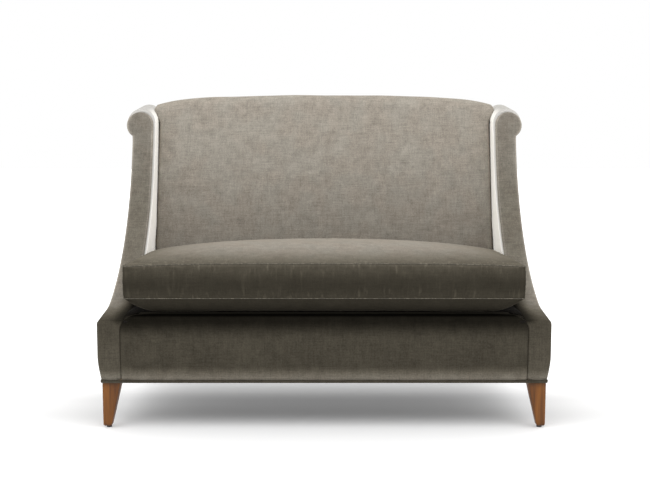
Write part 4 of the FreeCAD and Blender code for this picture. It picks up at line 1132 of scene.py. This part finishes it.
def cushion(u, v, w, inset=0.0):
    """A point of the cushion's skin from its shares across, front to back and up the boxing."""
    across, level = 2 * u - 1, np.clip(w, 0, 1)
    seam_z = LOW_SEAM_Z + (HIGH_SEAM_Z - LOW_SEAM_Z) * level
    front_y = cushion_low.y + FRONT_BULGE + FRONT_DRAW * (1 - across ** 4)
    rear_y = ZIP_FOOT_Y + seam_z * BACK_SLOPE
    half_depth, middle_y = (rear_y - front_y) / 2, (rear_y + front_y) / 2
    x, depth = across * CUSHION_HALF, (2 * v - 1) * half_depth
    corner = np.stack([np.abs(x) - CUSHION_HALF + CORNER_RADIUS, np.abs(depth) - half_depth + CORNER_RADIUS])
    inside = (corner > 0).all(axis=0)
    press = np.where(inside, np.max(corner, axis=0) / np.maximum(np.hypot(*corner), 1e-9), 1)
    x = np.where(inside, np.sign(x) * (CUSHION_HALF - CORNER_RADIUS + corner[0] * press), x)
    depth = np.where(inside, np.sign(depth) * (half_depth - CORNER_RADIUS + corner[1] * press), depth)
    share_x, share_y = x / CUSHION_HALF, depth / half_depth
    swell = 1 - (2 * level - 1) ** 2
    on_front, on_side = v < 1e-6, (u < 1e-6) | (u > 1 - 1e-6)
    y = middle_y + depth - np.where(on_front, FRONT_BULGE * swell * (1 - np.abs(share_x) ** 10), 0)
    x = x + np.where(on_side, np.sign(x) * 0.002 * swell, 0)
    crest_y = CREST_SHARE * 2 - 1
    run = np.where(share_y < crest_y, 1 + crest_y, 1 - crest_y)
    over = (1 - way(np.abs(share_y - crest_y), 0, run) ** 2.4) ** 0.74
    crown = CUSHION_CROWN * np.clip(1 - share_x ** 2, 0, 1) ** 0.66 * over
    from_edge = way(half_depth * (1 - np.abs(share_y)), 0, UNDER_ROUND)
    sag = np.sqrt(1 - (1 - from_edge) ** 2.4) * np.clip(1 - np.abs(share_x) ** 14, 0, 1) ** 0.8
    seam_z = seam_z + level * seam_rise(x, y)
    z = seam_z + np.where(w == 1, crown - inset, 0) - np.where(w == 0, CUSHION_DROP * sag - inset, 0)
    shrink = 1 - inset / CUSHION_HALF
    return x * shrink, middle_y + (y - middle_y) * (1 - inset / half_depth), z


pad("cushion_filling", (80, 40, 6), lambda u, v, w: cushion(u, v, w, 0.006), foam_finish, "foam",
    "cushion_core", body="seat_cushion")


def sewn_cover(form):
    """The cushion's cover after a cloth simulation: its seams are held and the cloth between them is blown
    up by the filling. Each point stays within a few millimetres of the form."""
    before = np.array([vertex.co for vertex in form.data.vertices])
    upper_seam = HIGH_SEAM_Z + seam_rise(before[:, 0], before[:, 1])
    on_rear = (before[:, 1] > ZIP_FOOT_Y + before[:, 2] * BACK_SLOPE - 0.003) & (before[:, 2] > LOW_SEAM_Z)
    held = on_rear | (np.abs(before[:, 2] - LOW_SEAM_Z) < 1e-5) | (np.abs(before[:, 2] - upper_seam) < 1e-5)
    group = form.vertex_groups.new(name="seams")
    group.add([int(index) for index in np.nonzero(held)[0]], 1.0, "REPLACE")
    cloth = form.modifiers.new("cloth", "CLOTH")
    settings = {"vertex_group_mass": "seams", "use_pressure": True, "uniform_pressure_force": 1.6,
                "shrink_min": -0.008, "tension_stiffness": 15, "compression_stiffness": 15,
                "shear_stiffness": 5, "bending_stiffness": 1.5, "quality": 5}
    for name, setting in settings.items():
        setattr(cloth.settings, name, setting)
    cloth.settings.effector_weights.gravity = 0
    cloth.point_cache.frame_start = 1
    cloth.point_cache.frame_end = CLOTH_FRAMES
    for number in range(1, CLOTH_FRAMES + 1):
        bpy.context.scene.frame_set(number)
    depsgraph = bpy.context.evaluated_depsgraph_get()
    after = np.array([vertex.co for vertex in form.evaluated_get(depsgraph).data.vertices])
    bpy.context.scene.frame_set(1)
    form.modifiers.clear()
    form.vertex_groups.clear()
    moved = after - before
    length = np.linalg.norm(moved, axis=1, keepdims=True)
    capped = before + moved * np.minimum(1, CLOTH_REACH / np.maximum(length, 1e-9))
    capped[:, 0] = np.clip(capped[:, 0], -ARM_INNER_X + 0.001, ARM_INNER_X - 0.001)
    capped[:, 2] = np.maximum(capped[:, 2], cushion_low.z)
    form.data.vertices.foreach_set("co", capped.ravel())
    return form


def cushion_painted_light(at):
    """Painted light and shade: bright over the crest and towards the rear, ever darker down to the seam and
    over the boxing, with painted highlights at the side corners and a thin lighter line just over the foot
    seam.
    """
    crest = at.height.ramp(HIGH_SEAM_Z + 0.003, cushion_high.z - 0.004)
    rear = at.depth.ramp(-0.16, 0.14, 0.0, 0.9)
    crest = (0.33 + 0.60 * (crest + rear - crest * rear)) * at.up.ramp(0.1, 0.6, 0.57, 1.0)
    boxing = at.height.ramp(HIGH_SEAM_Z - 0.055, HIGH_SEAM_Z, 0.64, 1.0) * at.up.ramp(-0.7, -0.25, 0.8, 1.0)
    foot = (at.height.ramp(LOW_SEAM_Z - 0.003, LOW_SEAM_Z, 0.0, 1.0)
            * at.height.ramp(LOW_SEAM_Z, LOW_SEAM_Z + 0.035, 0.035, 0.0))
    return crest * boxing * (1 + at.aside.ramp(0.45, 0.95, 0.0, 0.7)) + foot


def cushion_folds(tree, place, height):
    """Small upright creases, drawn in by the stitches of both seams, which the velvet also paints as
    highlights.
    """
    creases = mottle(tree, place, 90, (1, 1, 0.14), 2).ramp(0.52, 0.80)
    low = (height.ramp(LOW_SEAM_Z - 0.002, LOW_SEAM_Z, 0.0, 1.0)
           * height.ramp(LOW_SEAM_Z, LOW_SEAM_Z + 0.06, 1.0, 0.2))
    high = (height.ramp(HIGH_SEAM_Z - 0.045, HIGH_SEAM_Z, 0.0, 0.8)
            * height.ramp(HIGH_SEAM_Z, HIGH_SEAM_Z + 0.02, 1.0, 0.0))
    return creases * (low + high)


cover = sewn_cover(block_skin("cushion_form", (134, 64, 11), cushion))
cover.name = "cushion_velvet_cover"
smoother = cover.modifiers.new("smooth", "SUBSURF")
smoother.levels = 1
smoother.render_levels = 1
cushion_finish = taupe_velvet("cushion", cushion_painted_light, 0.6, 0.2, cushion_folds)
fit(cover, cushion_finish, "seat_cushion", "taupe_velvet", "cushion_cover")


# The seams of the cushion, round its foot and top and up its front corners. Plain sewn seams, whose folded
# edge stands up by about a millimetre and catches the light, and whose lighter specks are painted highlights
# in short broken lines.
def seam_tree(finish):
    """A thin round bead along a line."""
    tree, line, sizes = line_tree("seam_bead", "Radius")
    ring = Socket.of(tree, "GeometryNodeCurvePrimitiveCircle", {"Resolution": 6, "Radius": sizes["Radius"]})
    return close_tree(tree, swept(tree, line, ring, True), finish)


# Lighter specks on the seam's colour: painted highlights in short broken lines.
seam_finish = speckled("seam_edge", 160, 3, (paint(74, 70, 61), paint(112, 106, 94)), (0.85, 0.0), 0.1,
                       band=(0.42, 0.66))
seams = seam_tree(seam_finish)
JUST_INSIDE = 0.00001


def round_cushion(level, count=420):
    """The line of a seam round the cushion, at the foot or the top of the boxing and just inside it, where
    neither the crown nor the sag is added."""
    t = np.linspace(0, 4, count, endpoint=False)
    u = np.interp(t, [0, 1, 2, 3, 4], [0, 1, 1, 0, 0])
    v = np.interp(t, [0, 1, 2, 3, 4], [0, 0, 1, 1, 0])
    w = np.full(count, level * (1 - 2 * JUST_INSIDE) + JUST_INSIDE)
    return np.stack(cushion(u, v, w), axis=-1).tolist()


def up_corner(side, count=24):
    """The line of the seam up a front corner of the boxing."""
    w = np.linspace(0.001, 0.999, count)
    return np.stack(cushion(np.full(count, side), np.zeros(count), w), axis=-1).tolist()


for label, points, closed in (("lower", round_cushion(0.0), True), ("upper", round_cushion(1.0), True),
                              ("left", up_corner(0.0), False), ("right", up_corner(1.0), False)):
    fit(grown(f"cushion_seam_{label}", points, closed, seams, Radius=0.0010), seam_finish,
        "seat_cushion", "taupe_velvet")


# The zip along the rear of the boxing. Two woven tapes with moulded teeth between them, sewn into the
# boxing, and a die-cast slider with a flat pull, which rests at the right-hand end.
def tape_cloth(tree, place):
    colour, height = woven(tree, place, 0.0009, paint(116, 110, 100), paint(78, 74, 68), "XZ")
    return colour, 0.85, height, {}


finish_nodes(material("zip_tape", tape_cloth), "zip_tape")
zip_low, zip_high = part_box("zip_tape")
zip_finish = speckled("zip_metal", 500, 3, (paint(168, 164, 156), paint(120, 116, 110)), (0.3, 0.15), 0.02,
                      Metallic=1.0)
finish_nodes(zip_finish, "zip_slider")


def teeth_tree(finish):
    """Small teeth at a pitch along a line."""
    tree, line, sizes = line_tree("zip_teeth", "Pitch", "Length", "Height", "Tilt")
    tooth = vector_of(tree, sizes["Pitch"] * 0.6, sizes["Height"], sizes["Length"])
    return strung(tree, line, sizes["Pitch"], tooth, vector_of(tree, sizes["Tilt"]), finish)


TEETH_LIFT = 0.00015
TEETH_INSET = 0.01
zip_middle_z = (zip_low.z + zip_high.z) / 2
zip_face_y = ZIP_FOOT_Y + zip_middle_z * BACK_SLOPE + TEETH_LIFT
zip_line = [(x, zip_face_y, zip_middle_z) for x in (zip_low.x + TEETH_INSET, zip_high.x - TEETH_INSET)]
teeth = grown("zip_teeth", zip_line, False, teeth_tree(zip_finish), smooth=False,
              Pitch=0.0016, Length=0.004, Height=0.0006, Tilt=-BACK_ANGLE)
fit(teeth, zip_finish, "seat_cushion", "zip_metal")


# The studio: a pale floor that keeps the sofa's shadow, soft light from above and all round, and a camera
# at the photograph's place.
def white_rays(tree):
    """1 for the rays of the camera, of reflections and of glass, 0 for those that light the object."""
    rays = [Socket.of(tree, "ShaderNodeLightPath", outlet=name)
            for name in ("Is Camera Ray", "Is Glossy Ray", "Is Transmission Ray")]
    return rays[0].math("MAXIMUM", rays[0], rays[1].math("MAXIMUM", rays[1], rays[2]))


def stage_floor(size=40.0):
    """A large level floor, white where the camera sees it unshaded, with painted light, seen only by the
    camera and in reflections, laid over the shadow under and behind the sofa.
    """
    mesh = bpy.data.meshes.new("studio_floor")
    corners = [(a * size, b * size, 0) for a, b in ((-1, -1), (1, -1), (1, 1), (-1, 1))]
    mesh.from_pydata(corners, [], [(0, 1, 2, 3)])
    made = bpy.data.materials.new("studio_floor")
    made.use_nodes = True
    tree = made.node_tree
    tree.nodes.clear()
    seen = white_rays(tree)
    matt = Socket.of(tree, "ShaderNodeBsdfDiffuse", {"Color": 0.92 - seen * 0.20})
    depth = component(tree, place_on(tree), "Y")
    # Painted light on the floor: a glow for the camera, least under the front of the sofa and lightest behind
    # it.
    painted_floor_light = (depth.ramp(-0.255, -0.078, 0.06, 0.145) + depth.ramp(-0.078, 0.2, 0, 0.3)
            + depth.ramp(-0.42, -0.26, 0.1, 0))
    glow = Socket.of(tree, "ShaderNodeEmission", {"Color": (1, 1, 1, 1), "Strength": seen * painted_floor_light})
    both = Socket.of(tree, "ShaderNodeAddShader", {0: matt, 1: glow})
    Socket.of(tree, "ShaderNodeOutputMaterial", {"Surface": both})
    mesh.materials.append(made)
    linked("studio_floor", mesh)


stage_floor()
WORLD_LEVEL = 0.95
world = bpy.data.worlds.new("studio")
bpy.context.scene.world = world
world.use_nodes = True
world.node_tree.nodes.clear()
level = WORLD_LEVEL + white_rays(world.node_tree) * (1 - WORLD_LEVEL)
Socket.of(world.node_tree, "ShaderNodeOutputWorld", {"Surface": Socket.of(
    world.node_tree, "ShaderNodeBackground", {"Color": (1, 1, 1, 1), "Strength": level})})
for name, turn, tilt, energy in (
        ("left_lamp", -78, 52, 1.3), ("right_lamp", 78, 52, 1.3), ("overhead", 0, 8, 0.5)):
    light = bpy.data.lights.new(name, "SUN")
    light.energy = energy
    light.angle = 1.5
    linked(name, light).rotation_euler = (math.radians(tilt), 0, math.radians(turn))

CAMERA_PLACE = (0.0025, -3.352, 0.848)
CAMERA_TILT = math.radians(84.21)
CAMERA_LENS = 54.8
camera = linked("camera", bpy.data.cameras.new("camera"))
camera.location = CAMERA_PLACE
camera.rotation_euler = (CAMERA_TILT, 0, 0)
camera.data.lens = CAMERA_LENS
camera.data.clip_end = 200
bpy.context.scene.camera = camera
bpy.context.scene.view_settings.view_transform = "Standard"
